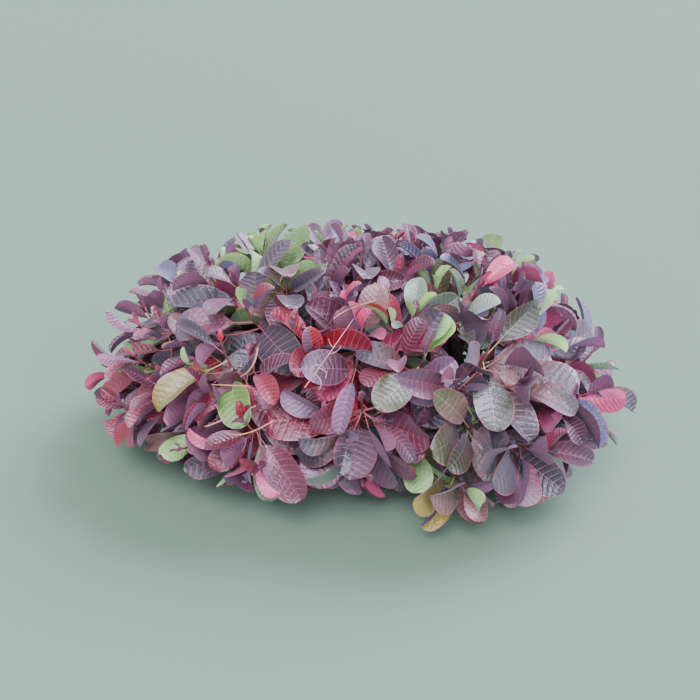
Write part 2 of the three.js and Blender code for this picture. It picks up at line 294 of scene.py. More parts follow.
HABITS = {
    "right": Habit(0.98, 1.0, 1.18, leaf_sag=0.45),
    "back_right": Habit(leaf_sag=0.5),
    "back": Habit(leaf_sag=0.5),
    "back_left": Habit(leaf_sag=0.5),
    "left": Habit(1.02, 1.04, 0.84, 0.8, 0.9),
    "front_left": Habit(0.99, 0.98, 1.04, 0.92, 0.8),
    "front": Habit(0.92, 0.91, 1.16, leaf_sag=0.6),
    "front_right": Habit(1.07, 1.13, 1.22, leaf_sag=0.7),
    "upper_right": Habit(leaf_reach=1.06, leaf_scale=0.92),
    "upper_back": Habit(0.97, 1.0, 0.85, 0.9),
    "upper_left": Habit(1.03, 1.06),
    "upper_front": Habit(leaf_reach=1.02, leaf_scale=0.92),
    "crown": Habit(leaf_reach=1.06, leaf_scale=0.84),
}


@dataclass(frozen=True)
class Place:
    """A place under the crown's surface where a shoot could end."""

    number: int
    tip: Vector
    heading: Vector
    depth: float


@dataclass
class Shoot:
    """A leafy shoot, or a finer side twig of one."""

    line: LimbLine
    number: int
    base_radius: float
    tip_radius: float
    leaf_scale: float
    length: float = 0.0

    def __post_init__(self) -> None:
        """Measures the shoot once."""
        self.length = self.line.length()


@dataclass
class Mass:
    """One mass of foliage: its cell's centre, its hub, its bough and what grows from them."""

    name: str
    centre: Vector
    hub: Vector
    bough: LimbLine
    bough_end: float = 1.0
    places: list[Place] = field(default_factory=list)
    shoots: list[Shoot] = field(default_factory=list)
    twigs: list[Shoot] = field(default_factory=list)
    leaves: list["Leaf"] = field(default_factory=list)


# Leaf colours


class Tint(Enum):
    """A colour that a spray of leaves can have, with the screen colour of its blades."""

    PLUM = (83, 59, 76)
    DARK_PLUM = (70, 61, 72)
    MAUVE = (114, 80, 110)
    SLATE = (80, 80, 110)
    WINE = (102, 42, 62)
    CRIMSON = (130, 16, 40)
    SCARLET = (180, 4, 18)
    MAROON = (108, 26, 42)
    ROSE = (186, 56, 100)
    BRONZE = (116, 80, 80)
    OLIVE = (66, 68, 38)
    GREEN = (78, 106, 50)
    LIME = (126, 168, 76)
    YELLOW_GREEN = (150, 130, 40)
    GREY_GREEN = (104, 122, 106)
    CORAL = (172, 52, 38)

    def label(self) -> str:
        """Gives its name as the finishes' names have it."""
        return self.name.lower()


RED_TINTS = (Tint.CRIMSON, Tint.SCARLET, Tint.MAROON)
GREEN_TINTS = (Tint.OLIVE, Tint.GREEN, Tint.LIME, Tint.YELLOW_GREEN, Tint.GREY_GREEN)
PALE_EDGED_TINTS = (Tint.GREEN, Tint.LIME, Tint.GREY_GREEN)


class Part(Enum):
    """A part of a blade that has a finish of its own."""

    BLADE = 0
    RIB = 1
    VEIN = 2
    MARGIN = 3
    UNDER = 4
    UNDER_VEIN = 5
    # The left half of the upper skin, which takes a leaf's painted sheen tint where it has one
    OTHER_HALF = 6


class Under(Enum):
    """The colour that the underside of a leaf can have."""

    DUSTY = "dusty"
    ROSE = "rose"
    PALE_GREEN = "pale_green"


class Showing(Enum):
    """What a leaf's underside is dealt by: whether it turns over, and if not, its upper side."""

    PURPLE = "purple"
    TURNED = "turned"
    GREEN = "green"


def blend(first: Colour, second: Colour, share: float) -> Colour:
    """Mixes two colours by the share of the second."""
    return tuple(a + (b - a) * share for a, b in zip(first, second))


@dataclass(frozen=True)
class LeafColours:
    """The plain colours of one tint: its blade, its midrib and its margin."""

    blade: Colour
    rib: Colour
    margin: Colour


PINK_RIB = from_screen(196, 122, 140)
RED_RIB = from_screen(184, 84, 104)
GREEN_RIB = from_screen(196, 200, 156)
RED_MARGIN = from_screen(160, 74, 94)
GREEN_MARGIN = from_screen(170, 170, 128)
PALE_VEIN = from_screen(202, 154, 178)

LEAF_COLOURS = {
    tint: LeafColours(
        from_screen(*tint.value),
        GREEN_RIB if tint in GREEN_TINTS else RED_RIB if tint in RED_TINTS else PINK_RIB,
        GREEN_MARGIN if tint in PALE_EDGED_TINTS else RED_MARGIN,
    )
    for tint in Tint
}

UNDER_COLOURS = {
    Under.DUSTY: (from_screen(122, 74, 100), from_screen(152, 104, 124)),
    Under.ROSE: (from_screen(190, 76, 118), from_screen(210, 128, 150)),
    Under.PALE_GREEN: (from_screen(150, 186, 120), from_screen(188, 206, 154)),
}

# Each tint comes in three shades, from the deepest to the lightest
SHADES = (0.6, 0.95, 1.3)

# How far a side vein goes from the blade's colour to the pale one, on a plain and on a marked leaf
PLAIN_VEIN = 0.26
MARKED_VEIN = 0.52

# The tint of the young leaves at the tip of a spray, where it differs from the spray's own
YOUNG_TINTS = {
    Tint.PLUM: Tint.WINE,
    Tint.DARK_PLUM: Tint.PLUM,
    Tint.MAUVE: Tint.ROSE,
    Tint.SLATE: Tint.PLUM,
    Tint.WINE: Tint.CRIMSON,
    Tint.CRIMSON: Tint.MAROON,
    Tint.BRONZE: Tint.MAUVE,
    Tint.OLIVE: Tint.GREEN,
    Tint.GREEN: Tint.LIME,
    Tint.GREY_GREEN: Tint.LIME,
}

# How often each underside comes
UNDER_SHARES = {
    Showing.PURPLE: {Under.DUSTY: 6, Under.ROSE: 1.2, Under.PALE_GREEN: 0.8},
    Showing.TURNED: {Under.DUSTY: 1, Under.ROSE: 4, Under.PALE_GREEN: 2},
    Showing.GREEN: {Under.PALE_GREEN: 1},
}

# The tint at the base of a leaf whose colour changes along its blade, by the tint of the rest
FLUSHES = {
    Tint.WINE: Tint.CRIMSON,
    Tint.MAUVE: Tint.WINE,
    Tint.PLUM: Tint.WINE,
    Tint.CRIMSON: Tint.SCARLET,
    Tint.MAROON: Tint.CRIMSON,
    Tint.ROSE: Tint.CRIMSON,
    Tint.BRONZE: Tint.OLIVE,
    Tint.OLIVE: Tint.BRONZE,
    Tint.DARK_PLUM: Tint.BRONZE,
    Tint.YELLOW_GREEN: Tint.OLIVE,
}

# Bands along a blade, from its base to its tip, in which such a change goes on
BANDS = 4


def toward(turn: float, lift: float) -> Vector:
    """Gives the direction of a place on the crown.

    Args:
        turn: Its turn round the crown from the plant's right, in degrees.
        lift: Its lift over the crown's widest level, in degrees.

    Returns:
        The direction.
    """
    level = math.cos(math.radians(lift))
    turn = math.radians(turn)
    return Vector((level * math.cos(turn), level * math.sin(turn), math.sin(math.radians(lift))))


@dataclass(frozen=True)
class Drift:
    """A part of the crown whose sprays share a mixture of tints, told by the part's middle.

    Its turn is round the crown from the plant's right and its lift over the widest level, both in
    degrees. Marked is the share of its leaves that have bold veins.
    """

    turn: float
    lift: float
    tints: dict[Tint, float]
    marked: float

    @classmethod
    def of(cls, turn: float, lift: float, marked: float = 0.2, **weights: float) -> "Drift":
        """Makes a drift from how often each tint comes, by the tint's name."""
        return cls(turn, lift, {Tint[name.upper()]: weight for name, weight in weights.items()}, marked)


DRIFTS = (
    # Left tip and the feathery skirt below it
    Drift.of(192, 20, crimson=6, maroon=5, wine=1, lime=0.3),
    Drift.of(216, 8, wine=5, mauve=0.6, maroon=4, crimson=1),
    Drift.of(223, 34, bronze=2, wine=3, maroon=3, crimson=1.5),
    Drift.of(236, -8, wine=3, plum=3, mauve=2, maroon=1, bronze=1),
    # Upper left
    Drift.of(200, 48, dark_plum=7, slate=2),
    Drift.of(162, 40, slate=4, dark_plum=3, mauve=1, olive=0.3),
    Drift.of(180, 66, slate=3, plum=3, dark_plum=2.5, green=0.4),
    Drift.of(222, 66, mauve=1, plum=4, dark_plum=2, wine=2),
    # Top, which is green on its left
    Drift.of(128, 58, lime=2.6, green=3, mauve=1, rose=0.7),
    Drift.of(160, 79, green=1.4, mauve=2.4, plum=3, lime=0.6),
    Drift.of(100, 80, rose=1.5, mauve=2, green=0.7, plum=2),
    Drift.of(30, 79, plum=4, mauve=2, wine=1.4),
    # Upper front, which is red on its left and green on its right
    Drift.of(238, 49, 0.2, dark_plum=2, wine=3, crimson=3, maroon=1.5),
    Drift.of(257, 55, plum=2, crimson=3.4, wine=2, rose=0.2),
    Drift.of(276, 70, 0.3, bronze=3, mauve=3, rose=0.8, wine=1),
    Drift.of(296, 64, grey_green=4, olive=1.6, plum=1),
    Drift.of(310, 56, grey_green=2, olive=2, bronze=1.5, plum=1.5),
    Drift.of(280, 48, 0.5, plum=2, wine=2.4, mauve=2, crimson=1.4, rose=0.3),
    # Front, from its left to its right
    Drift.of(250, 36, crimson=2.4, maroon=1.5, wine=3, plum=2),
    Drift.of(241, 24, wine=3, bronze=2, maroon=1, plum=1.5),
    Drift.of(255, 15, wine=3, mauve=3, plum=1.5, bronze=1),
    Drift.of(266, 30, 0.55, mauve=3, plum=3, wine=2, rose=0.1),
    Drift.of(277, 32, 0.4, plum=3, mauve=2.5, rose=0.1, dark_plum=1),
    Drift.of(275, 12, 0.4, plum=5, wine=1.5, dark_plum=2, mauve=1.5),
    Drift.of(262, -10, 0.3, grey_green=0.8, wine=2, bronze=1.6, plum=2),
    Drift.of(298, 42, olive=4, green=0.3, dark_plum=2.5),
    Drift.of(290, 24, olive=4, plum=1.5, dark_plum=2),
    Drift.of(292, -20, dark_plum=4, yellow_green=0.6, olive=0.8, bronze=1),
    # Right
    Drift.of(303, 31, 0.2, plum=2, dark_plum=5, slate=1.4),
    Drift.of(312, 0, 0.2, dark_plum=5, plum=1, bronze=3),
    Drift.of(328, 32, plum=1.4, slate=2.5, dark_plum=5),
    Drift.of(334, 12, 0.2, dark_plum=6, bronze=2, slate=1, green=0.3),
    Drift.of(350, 54, plum=2, wine=1.5, rose=1.6, slate=2, dark_plum=1),
    Drift.of(6, 66, plum=3, slate=2.5, wine=1.5),
    Drift.of(12, 36, olive=0.1, plum=1.5, dark_plum=3.5, slate=2.5),
    # Back
    Drift.of(15, 8, plum=2, dark_plum=4, green=0.4, slate=1.5),
    Drift.of(45, 16, plum=4, wine=2, olive=0.8, dark_plum=2),
    Drift.of(60, 46, mauve=2, green=0.5, plum=4, wine=1.6),
    Drift.of(90, 14, wine=3, plum=4, crimson=1.5, green=0.6),
    Drift.of(98, 44, mauve=2, slate=1.5, plum=4, rose=0.5),
    Drift.of(135, 14, crimson=1.6, plum=4, slate=1.5, olive=0.6),
    Drift.of(165, 10, maroon=4, crimson=3, wine=2, plum=1),
    Drift.of(178, 32, maroon=1, wine=1, slate=2, dark_plum=5),
)


@dataclass(frozen=True)
class Accent:
    """A single leaf of another tint than its spray, told by where it stands in the crown.

    Its left half can have a tint of its own, which is painted sheen: the lit half of a leaf that is
    folded along its midrib. A slim one is folded, and its share is how far out it stands on the way
    to the crown's surface.
    """

    turn: float
    lift: float
    tint: Tint
    shade: int = 1
    # Painted sheen: a tint for the lit left half of a folded leaf, if it has one
    left_tint: Tint | None = None
    slim: bool = False
    share: float = 1.0


ACCENTS = (
    Accent(199, 55, Tint.SCARLET, 1, share=0.7),
    # A scarlet leaf with its left half in mauve: painted sheen on the lit half of the folded leaf
    Accent(255, 49, Tint.SCARLET, 0, Tint.MAUVE),
    Accent(233, 41, Tint.CORAL, 0, None, True),
    Accent(283, 59, Tint.CORAL, 0),
    Accent(293, 53, Tint.LIME, 1),
    Accent(319, 60, Tint.GREY_GREEN, 2),
    Accent(326, 66, Tint.GREY_GREEN, 2),
    Accent(302, 66, Tint.GREY_GREEN, 2),
    Accent(277, 64, Tint.BRONZE, 2),
    Accent(282, 65, Tint.CRIMSON, 1),
    Accent(227, 69, Tint.BRONZE, 0),
    Accent(225, 25, Tint.YELLOW_GREEN, 0, None, True),
    Accent(238, 21, Tint.LIME, 0),
    Accent(247, 31, Tint.CRIMSON, 1),
    Accent(249, 30, Tint.CRIMSON, 0),
    Accent(254, 16, Tint.WINE, 1),
    Accent(246, 4, Tint.MAUVE, 1),
    Accent(264, 15, Tint.MAUVE, 1),
    Accent(269, 2, Tint.PLUM, 2),
    Accent(253, 8, Tint.WINE, 2),
    Accent(256, -30, Tint.GREY_GREEN, 1),
    Accent(287, -35, Tint.YELLOW_GREEN, 1, None, True),
    Accent(284, -12, Tint.YELLOW_GREEN, 1),
    Accent(301, 24, Tint.OLIVE, 0),
    Accent(358, 59, Tint.ROSE, 1),
    Accent(190, 7, Tint.LIME, 0, share=0.86),
    Accent(190, 47, Tint.DARK_PLUM, 0),
    Accent(213, 42, Tint.DARK_PLUM, 1),
)


# Blades


@dataclass(frozen=True)
class BladeOutline:
    """Half of a blade's outline: narrow at its base, broadest past its middle and round at its tip."""

    broadest: float = 0.6
    base_power: float = 1.85
    base_fullness: float = 0.86
    tip_power: float = 2.3

    def half_width(self, along: np.ndarray) -> np.ndarray:
        """Gives the half width, as a share of the broadest one.

        Args:
            along: Shares of the blade's length from its base.

        Returns:
            The half widths there.
        """
        short = np.clip((self.broadest - along) / self.broadest, 0.0, 1.0)
        past = np.clip((along - self.broadest) / (1.0 - self.broadest), 0.0, 1.0)
        base = (1.0 - short**self.base_power) ** self.base_fullness
        return np.where(along < self.broadest, base, np.sqrt(1.0 - past**self.tip_power))


@dataclass(frozen=True)
class BladePattern:
    """A flat blade whose rows of faces follow its side veins, with an upper and an under skin.

    Every vein is a narrow strip of faces, the outermost column is the margin, and both skins
    share the rim, so that the blade is closed.
    """

    BOTH_SKINS = 0.5

    vein_pairs: int
    columns: tuple[float, ...]
    vein_width: float = 0.013
    midrib_width: float = 0.034
    slant: float = 0.17
    first_vein: float = 0.1
    last_vein: float = 0.9
    tip_row: float = 0.978
    outline: BladeOutline = BladeOutline()
    vein_taper: float = 0.6
    midrib_taper: float = 0.75
    vein_curve: float = 1.1
    base_beat: float = -0.6
    past_last_vein: float = 0.1
    tip_beat: float = 0.5
    coarse_rows: tuple[float, ...] = (0.22, 0.55, 0.9)

    def rows(self) -> list[tuple[float, float]]:
        """Lists the rows from base to tip.

        Returns:
            Each row's place along the midrib, and its side of its vein.
        """
        spread = self.last_vein - self.first_vein
        rows = []
        for pair in range(self.vein_pairs):
            along = self.first_vein + spread * pair / max(1, self.vein_pairs - 1)
            rows += [(along, -0.5), (along, 0.5)]
        rows.append((self.tip_row, 0.0))
        return rows

    def build(self) -> "BladeMesh":
        """Lays out the corners and faces of the flat blade.

        Returns:
            The blade as arrays.
        """
        points, faces, parts = [], [], []

        def corner(*values: float) -> int:
            """Adds a corner: along, across, share of the half width, under, groove and vein beat."""
            points.append(values)
            return len(points) - 1

        last = len(self.columns) - 1
        both = self.BOTH_SKINS
        half_rib = self.midrib_width * 0.5
        base = {side: corner(0.0, side * half_rib, 0.0, both, 1.0, self.base_beat) for side in (-1, 1)}
        tip = corner(1.0, 0.0, 0.0, both, 0.0, self.vein_pairs + self.tip_beat)
        grid = {}
        rows = self.rows()
        for r, (middle, half) in enumerate(rows):
            for side in (-1, 1):
                beat = float(r // 2)
                if r == 2 * self.vein_pairs:
                    beat = self.vein_pairs + self.past_last_vein
                for c, u in enumerate(self.columns):
                    along = middle + half * self.vein_width * (1.0 - self.vein_taper * u)
                    reach = along + self.slant * math.sin(math.pi * along)
                    edge = float(self.outline.half_width(np.array(reach)))
                    rib = self.midrib_width * (1.0 - self.midrib_taper * along) * 0.5
                    across = side * (rib + u * (edge - rib))
                    place = along + (reach - along) * u**self.vein_curve
                    groove = (1.0 - u) if half else 0.0
                    if c == 0:
                        groove = 1.0
                    if c == last:
                        shared = corner(place, across, side, both, 0.0, beat)
                        grid[r, side, c, 0] = grid[r, side, c, 1] = shared
                    else:
                        for under in (0, 1):
                            grid[r, side, c, under] = corner(place, across, side * u, under, groove, beat)

        def face(ids: list[int], side: int, under: int, part: Part) -> None:
            """Adds a face that looks outwards on its side and skin."""
            faces.append(ids if (side > 0) != bool(under) else ids[::-1])
            parts.append(part.value)

        def strip(ids: list[int], side: int, under: int, part: Part) -> None:
            """Adds two faces between the four corners of a piece of a row."""
            face(ids[:3], side, under, part)
            face([ids[0], *ids[2:]], side, under, part)

        count = len(rows)
        for under in (0, 1):
            vein = Part.UNDER_VEIN if under else Part.VEIN
            margin = Part.UNDER if under else Part.MARGIN
            for side in (-1, 1):
                for c in range(last):
                    skin = Part.UNDER if under else (Part.BLADE if side > 0 else Part.OTHER_HALF)
                    outer = margin if c == last - 1 and last > 2 else skin
                    near, far = grid[0, side, c, under], grid[0, side, c + 1, under]
                    face([base[side], far, near], side, under, outer)
                    for r in range(count - 1):
                        around = ((r, c), (r, c + 1), (r + 1, c + 1), (r + 1, c))
                        role = outer if outer is margin else (vein if rows[r][1] < 0.0 else skin)
                        strip([grid[row, side, column, under] for row, column in around], side, under, role)
                    near = grid[count - 1, side, c, under]
                    far = grid[count - 1, side, c + 1, under]
                    face([near, far, tip], side, under, outer)
            left = [base[-1]] + [grid[r, -1, 0, under] for r in range(count)]
            right = [base[1]] + [grid[r, 1, 0, under] for r in range(count)]
            rib = Part.UNDER_VEIN if under else Part.RIB
            for r in range(count):
                strip([left[r], right[r], right[r + 1], left[r + 1]], 1, under, rib)
            face([left[count], right[count], tip], 1, under, rib)
        coarse = [base[1]]
        for share in self.coarse_rows:
            r = round(share * (count - 1))
            coarse += [grid[r, -1, last, 0], grid[r, 1, 0, 0], grid[r, 1, last, 0]]
        return BladeMesh.of(points, faces, parts, (*coarse, tip))


@dataclass(frozen=True)
class BladeMesh:
    """A flat blade as arrays: its points, its faces, their parts and a coarse copy of itself."""

    along: np.ndarray
    across: np.ndarray
    u: np.ndarray
    under: np.ndarray
    groove: np.ndarray
    beat: np.ndarray
    corners: np.ndarray
    sizes: np.ndarray
    parts: np.ndarray
    bands: np.ndarray
    rim: np.ndarray
    coarse: tuple[int, ...]

    @staticmethod
    def of(
        points: list[tuple[float, ...]],
        faces: list[list[int]],
        parts: list[int],
        coarse: tuple[int, ...],
    ) -> "BladeMesh":
        """Packs the lists that a blade's pattern makes into arrays.

        Args:
            points: For each corner its values, in the order of the first six fields.
            faces: The corners of each face.
            parts: The part that each face belongs to.
            coarse: The corners of the coarse copy.

        Returns:
            The blade.
        """
        table = np.array(points)
        reached = np.array([table[ids, 0].mean() for ids in faces])
        return BladeMesh(
            *table.T,
            np.concatenate(faces),
            np.array([len(ids) for ids in faces]),
            np.array(parts),
            np.minimum(BANDS - 1, (reached * BANDS).astype(int)),
            table[:, 3] == BladePattern.BOTH_SKINS,
            coarse,
        )


class Grade(Enum):
    """How finely a blade is faced."""

    FULL = "full"
    SMALL = "small"
    BUD = "bud"


BLADES = {
    Grade.FULL: BladePattern(9, (0.0, 0.48, 0.95, 1.0), vein_width=0.011, midrib_width=0.03).build(),
    Grade.SMALL: BladePattern(4, (0.0, 0.55, 1.0), vein_width=0.016, midrib_width=0.045).build(),
    Grade.BUD: BladePattern(
        2,
        (0.0, 0.55, 1.0),
        vein_width=0.03,
        midrib_width=0.08,
        slant=0.2,
        first_vein=0.25,
        last_vein=0.75,
        tip_row=0.93,
    ).build(),
}

# The faces and edges of a coarse blade: a base, three rows of left, middle and right, and a tip
COARSE_FACES = np.array(
    [(0, 1, 2), (0, 2, 3), (7, 10, 8), (8, 10, 9)]
    + [
        face
        for r in (1, 4)
        for face in ((r, r + 3, r + 4), (r, r + 4, r + 1), (r + 1, r + 4, r + 5), (r + 1, r + 5, r + 2))
    ]
)
COARSE_EDGES = np.array(
    [(0, 1), (1, 4), (4, 7), (7, 10), (0, 2), (2, 5), (5, 8), (8, 10), (0, 3), (3, 6), (6, 9), (9, 10)]
)


@dataclass
class LeafForm:
    """How one blade folds, bends, cups, waves and twists.

    Its own angles are in radians. The ranges that they are dealt from are in degrees.
    """

    FOLD = (6, 26)
    DEEP_FOLD = (34, 62)
    DEEP_FOLD_SHARE = 0.22
    YOUNG_FOLD = 24
    LIFT = (0, 12)
    ARCH = (6, 44)
    BACKWARD_ARCH = (-40, 2)
    BACKWARD_SHARE = 0.14
    CUP = (-0.24, 0.24)
    WAVE = (0.0, 0.1)
    YOUNG_WAVE = 0.4
    WAVE_TURNS = (0.8, 2.3)
    TWIST = 16
    ROLL = (40, 85)
    ROLL_SHARE = 0.2
    TURNED_OVER = math.radians(30)

    fold: float
    lift: float
    arch: float
    cup: float
    wave: float
    wave_turns: float
    phase: float
    twist: float

    def turned(self) -> bool:
        """Tells whether the blade's tip turns over far enough to show its underside."""
        return abs(self.twist) > self.TURNED_OVER

    @classmethod
    def scattered(cls, seed: int, age: float) -> "LeafForm":
        """Deals the form of one leaf.

        Args:
            seed: The leaf's own seed.
            age: The leaf's age from 0 at the shoot's tip to 1 when it is full grown.

        Returns:
            The form.
        """
        scatter = Scatter(seed)
        folds = cls.FOLD if scatter.share() > cls.DEEP_FOLD_SHARE else cls.DEEP_FOLD
        fold = scatter.between(*folds) + cls.YOUNG_FOLD * (1.0 - age)
        arches = cls.ARCH if scatter.share() > cls.BACKWARD_SHARE else cls.BACKWARD_ARCH
        arch = scatter.between(*arches)
        rolled = scatter.share()
        twist = cls.TWIST * scatter.swing()
        if rolled < cls.ROLL_SHARE:
            twist = scatter.between(*cls.ROLL) * (1 if rolled < cls.ROLL_SHARE / 2 else -1)
        return cls(
            fold=math.radians(fold),
            lift=math.radians(scatter.between(*cls.LIFT)),
            arch=math.radians(arch),
            cup=scatter.between(*cls.CUP),
            wave=scatter.between(*cls.WAVE) * (cls.YOUNG_WAVE + (1.0 - cls.YOUNG_WAVE) * age),
            wave_turns=scatter.between(*cls.WAVE_TURNS),
            phase=scatter.between(0.0, 2.0 * math.pi),
            twist=math.radians(twist),
        )


@dataclass
class Leaf:
    """One leaf: its stalk's root, its directions, its sizes, its form and its tint."""

    root: Vector
    pointing: Vector
    facing: Vector
    stalk: float
    blade: float
    half_width: float
    form: LeafForm
    grade: Grade
    tint: Tint = Tint.PLUM
    shade: int = 1
    base_tint: Tint | None = None
    # A tint of painted sheen for the lit left half of a folded leaf, if it has one
    left_tint: Tint | None = None
    under: Under = Under.DUSTY
    marked: bool = False

    SKIN = 0.00034
    GROOVE = 0.00016
    GROOVED_WIDTH = 0.016
    OTHER_SIDE_PHASE = 1.4
    BEND_POWER = 1.3
    SPINE_STEPS = 24

    def blade_base(self) -> Vector:
        """Gives the place where the stalk hands over to the blade."""
        return self.root + self.pointing * self.stalk

    def places(self, chosen: tuple[int, ...] | None = None) -> np.ndarray:
        """Works out where the blade's corners lie.

        Args:
            chosen: Numbers of the corners that are wanted, or None for all.

        Returns:
            One row for each corner.
        """
        mesh = BLADES[self.grade]
        pick = slice(None) if chosen is None else list(chosen)
        along, across = mesh.along[pick], mesh.across[pick] * self.half_width
        u, under, groove = mesh.u[pick], mesh.under[pick], mesh.groove[pick]
        form = self.form
        middle = 1.0 - np.abs(u)
        height = form.cup * self.half_width * np.abs(u) ** 2
        phase = form.phase + self.OTHER_SIDE_PHASE * np.sign(u)
        ripple = np.sin(2 * math.pi * form.wave_turns * along + phase)
        height += form.wave * self.half_width * u**2 * ripple
        height += self.SKIN * middle * (1.0 - 2.0 * under)
        height -= self.GROOVE * groove * min(1.0, self.half_width / self.GROOVED_WIDTH)
        sideways = across * math.cos(form.fold)
        height = height + np.abs(across) * math.sin(form.fold)
        turn = form.twist * along
        sideways, height = (
            sideways * np.cos(turn) - height * np.sin(turn),
            sideways * np.sin(turn) + height * np.cos(turn),
        )
        shares = np.linspace(0.0, 1.0, self.SPINE_STEPS + 1)
        dip = -form.lift + (form.arch + form.lift) * shares**self.BEND_POWER
        step = self.blade / self.SPINE_STEPS
        ahead = np.concatenate([[0.0], np.cumsum(np.cos((dip[1:] + dip[:-1]) / 2)) * step])
        down = np.concatenate([[0.0], np.cumsum(np.sin((dip[1:] + dip[:-1]) / 2)) * step])
        angle = np.interp(along, shares, dip)
        forward = np.interp(along, shares, ahead) + height * np.sin(angle)
        upward = -np.interp(along, shares, down) + height * np.cos(angle)
        side = self.pointing.cross(self.facing)
        axes = np.array([side, self.pointing, self.facing])
        return np.array(self.blade_base()) + np.stack([sideways, forward, upward], 1) @ axes


# Growth


NEARLY_LEVEL = 1e-14

CoarseShape = tuple[np.ndarray, np.ndarray, np.ndarray, float]


@dataclass
class Crowding:
    """Remembers coarse leaves and twigs, and tells whether a new leaf would pass through one."""

    LIMB_STEP = 0.03

    room: int = 4000
    count: int = 0
    triangles: np.ndarray = field(init=False)
    edges: np.ndarray = field(init=False)
    centres: np.ndarray = field(init=False)
    reach: np.ndarray = field(init=False)
    limbs: np.ndarray = field(init=False)

    def __post_init__(self) -> None:
        """Makes room for the leaves."""
        self.limbs = np.zeros((0, 2, 3))
        self.triangles = np.zeros((self.room, len(COARSE_FACES), 3, 3))
        self.edges = np.zeros((self.room, len(COARSE_EDGES) + 1, 2, 3))
        self.centres = np.zeros((self.room, 3))
        self.reach = np.zeros(self.room)

    @staticmethod
    def shape_of(leaf: Leaf) -> CoarseShape:
        """Works out a leaf's coarse shape.

        Args:
            leaf: The leaf.

        Returns:
            Its triangles, edges, centre and reach.
        """
        points = leaf.places(BLADES[leaf.grade].coarse)
        triangles = points[COARSE_FACES]
        stalk = np.array([[np.array(leaf.root), points[0]]])
        edges = np.concatenate([points[COARSE_EDGES], stalk])
        centre = points.mean(0)
        reach = float(np.sqrt(((points - centre) ** 2).sum(1).max()))
        return triangles, edges, centre, reach

    def add_limb(self, places: list[Vector]) -> None:
        """Remembers a limb as a run of straight steps."""
        points = np.array(places)
        self.limbs = np.concatenate([self.limbs, np.stack([points[:-1], points[1:]], 1)])

    def add_leaf(self, shape: CoarseShape) -> None:
        """Remembers a leaf.

        Args:
            shape: The leaf's coarse shape.
        """
        for kept, value in zip((self.triangles, self.edges, self.centres, self.reach), shape):
            kept[self.count] = value
        self.count += 1

    def blocks(self, shape: CoarseShape) -> bool:
        """Tells whether a leaf would pass through a leaf or a limb that is there already.

        Args:
            shape: The new leaf's coarse shape.

        Returns:
            True if it would.
        """
        triangles, edges, centre, reach = shape
        apart = np.sqrt(((self.centres[: self.count] - centre) ** 2).sum(1))
        near = np.flatnonzero(apart < self.reach[: self.count] + reach)
        if len(near):
            if pierces(edges, self.triangles[near].reshape(-1, 3, 3)):
                return True
            if pierces(self.edges[near].reshape(-1, 2, 3), triangles):
                return True
        close = np.sqrt(((self.limbs[:, 0] - centre) ** 2).sum(1)) < reach + self.LIMB_STEP
        return bool(close.any()) and pierces(self.limbs[close], triangles)


def pierces(edges: np.ndarray, triangles: np.ndarray) -> bool:
    """Tells whether any edge passes through any triangle.

    Args:
        edges: Start and end of each edge.
        triangles: The three corners of each triangle.

    Returns:
        True if one does.
    """
    origin = edges[:, None, 0]
    span = edges[:, None, 1] - origin
    first = triangles[None, :, 0]
    side_a = triangles[None, :, 1] - first
    side_b = triangles[None, :, 2] - first
    square = np.cross(span, side_b)
    scale = (side_a * square).sum(-1)
    scale = np.where(np.abs(scale) < NEARLY_LEVEL, NEARLY_LEVEL, scale)
    away = origin - first
    a = (away * square).sum(-1) / scale
    other = np.cross(away, side_a)
    b = (span * other).sum(-1) / scale
    t = (side_b * other).sum(-1) / scale
    return bool(((a > 0) & (b > 0) & (a + b < 1) & (t > 0) & (t < 1)).any())


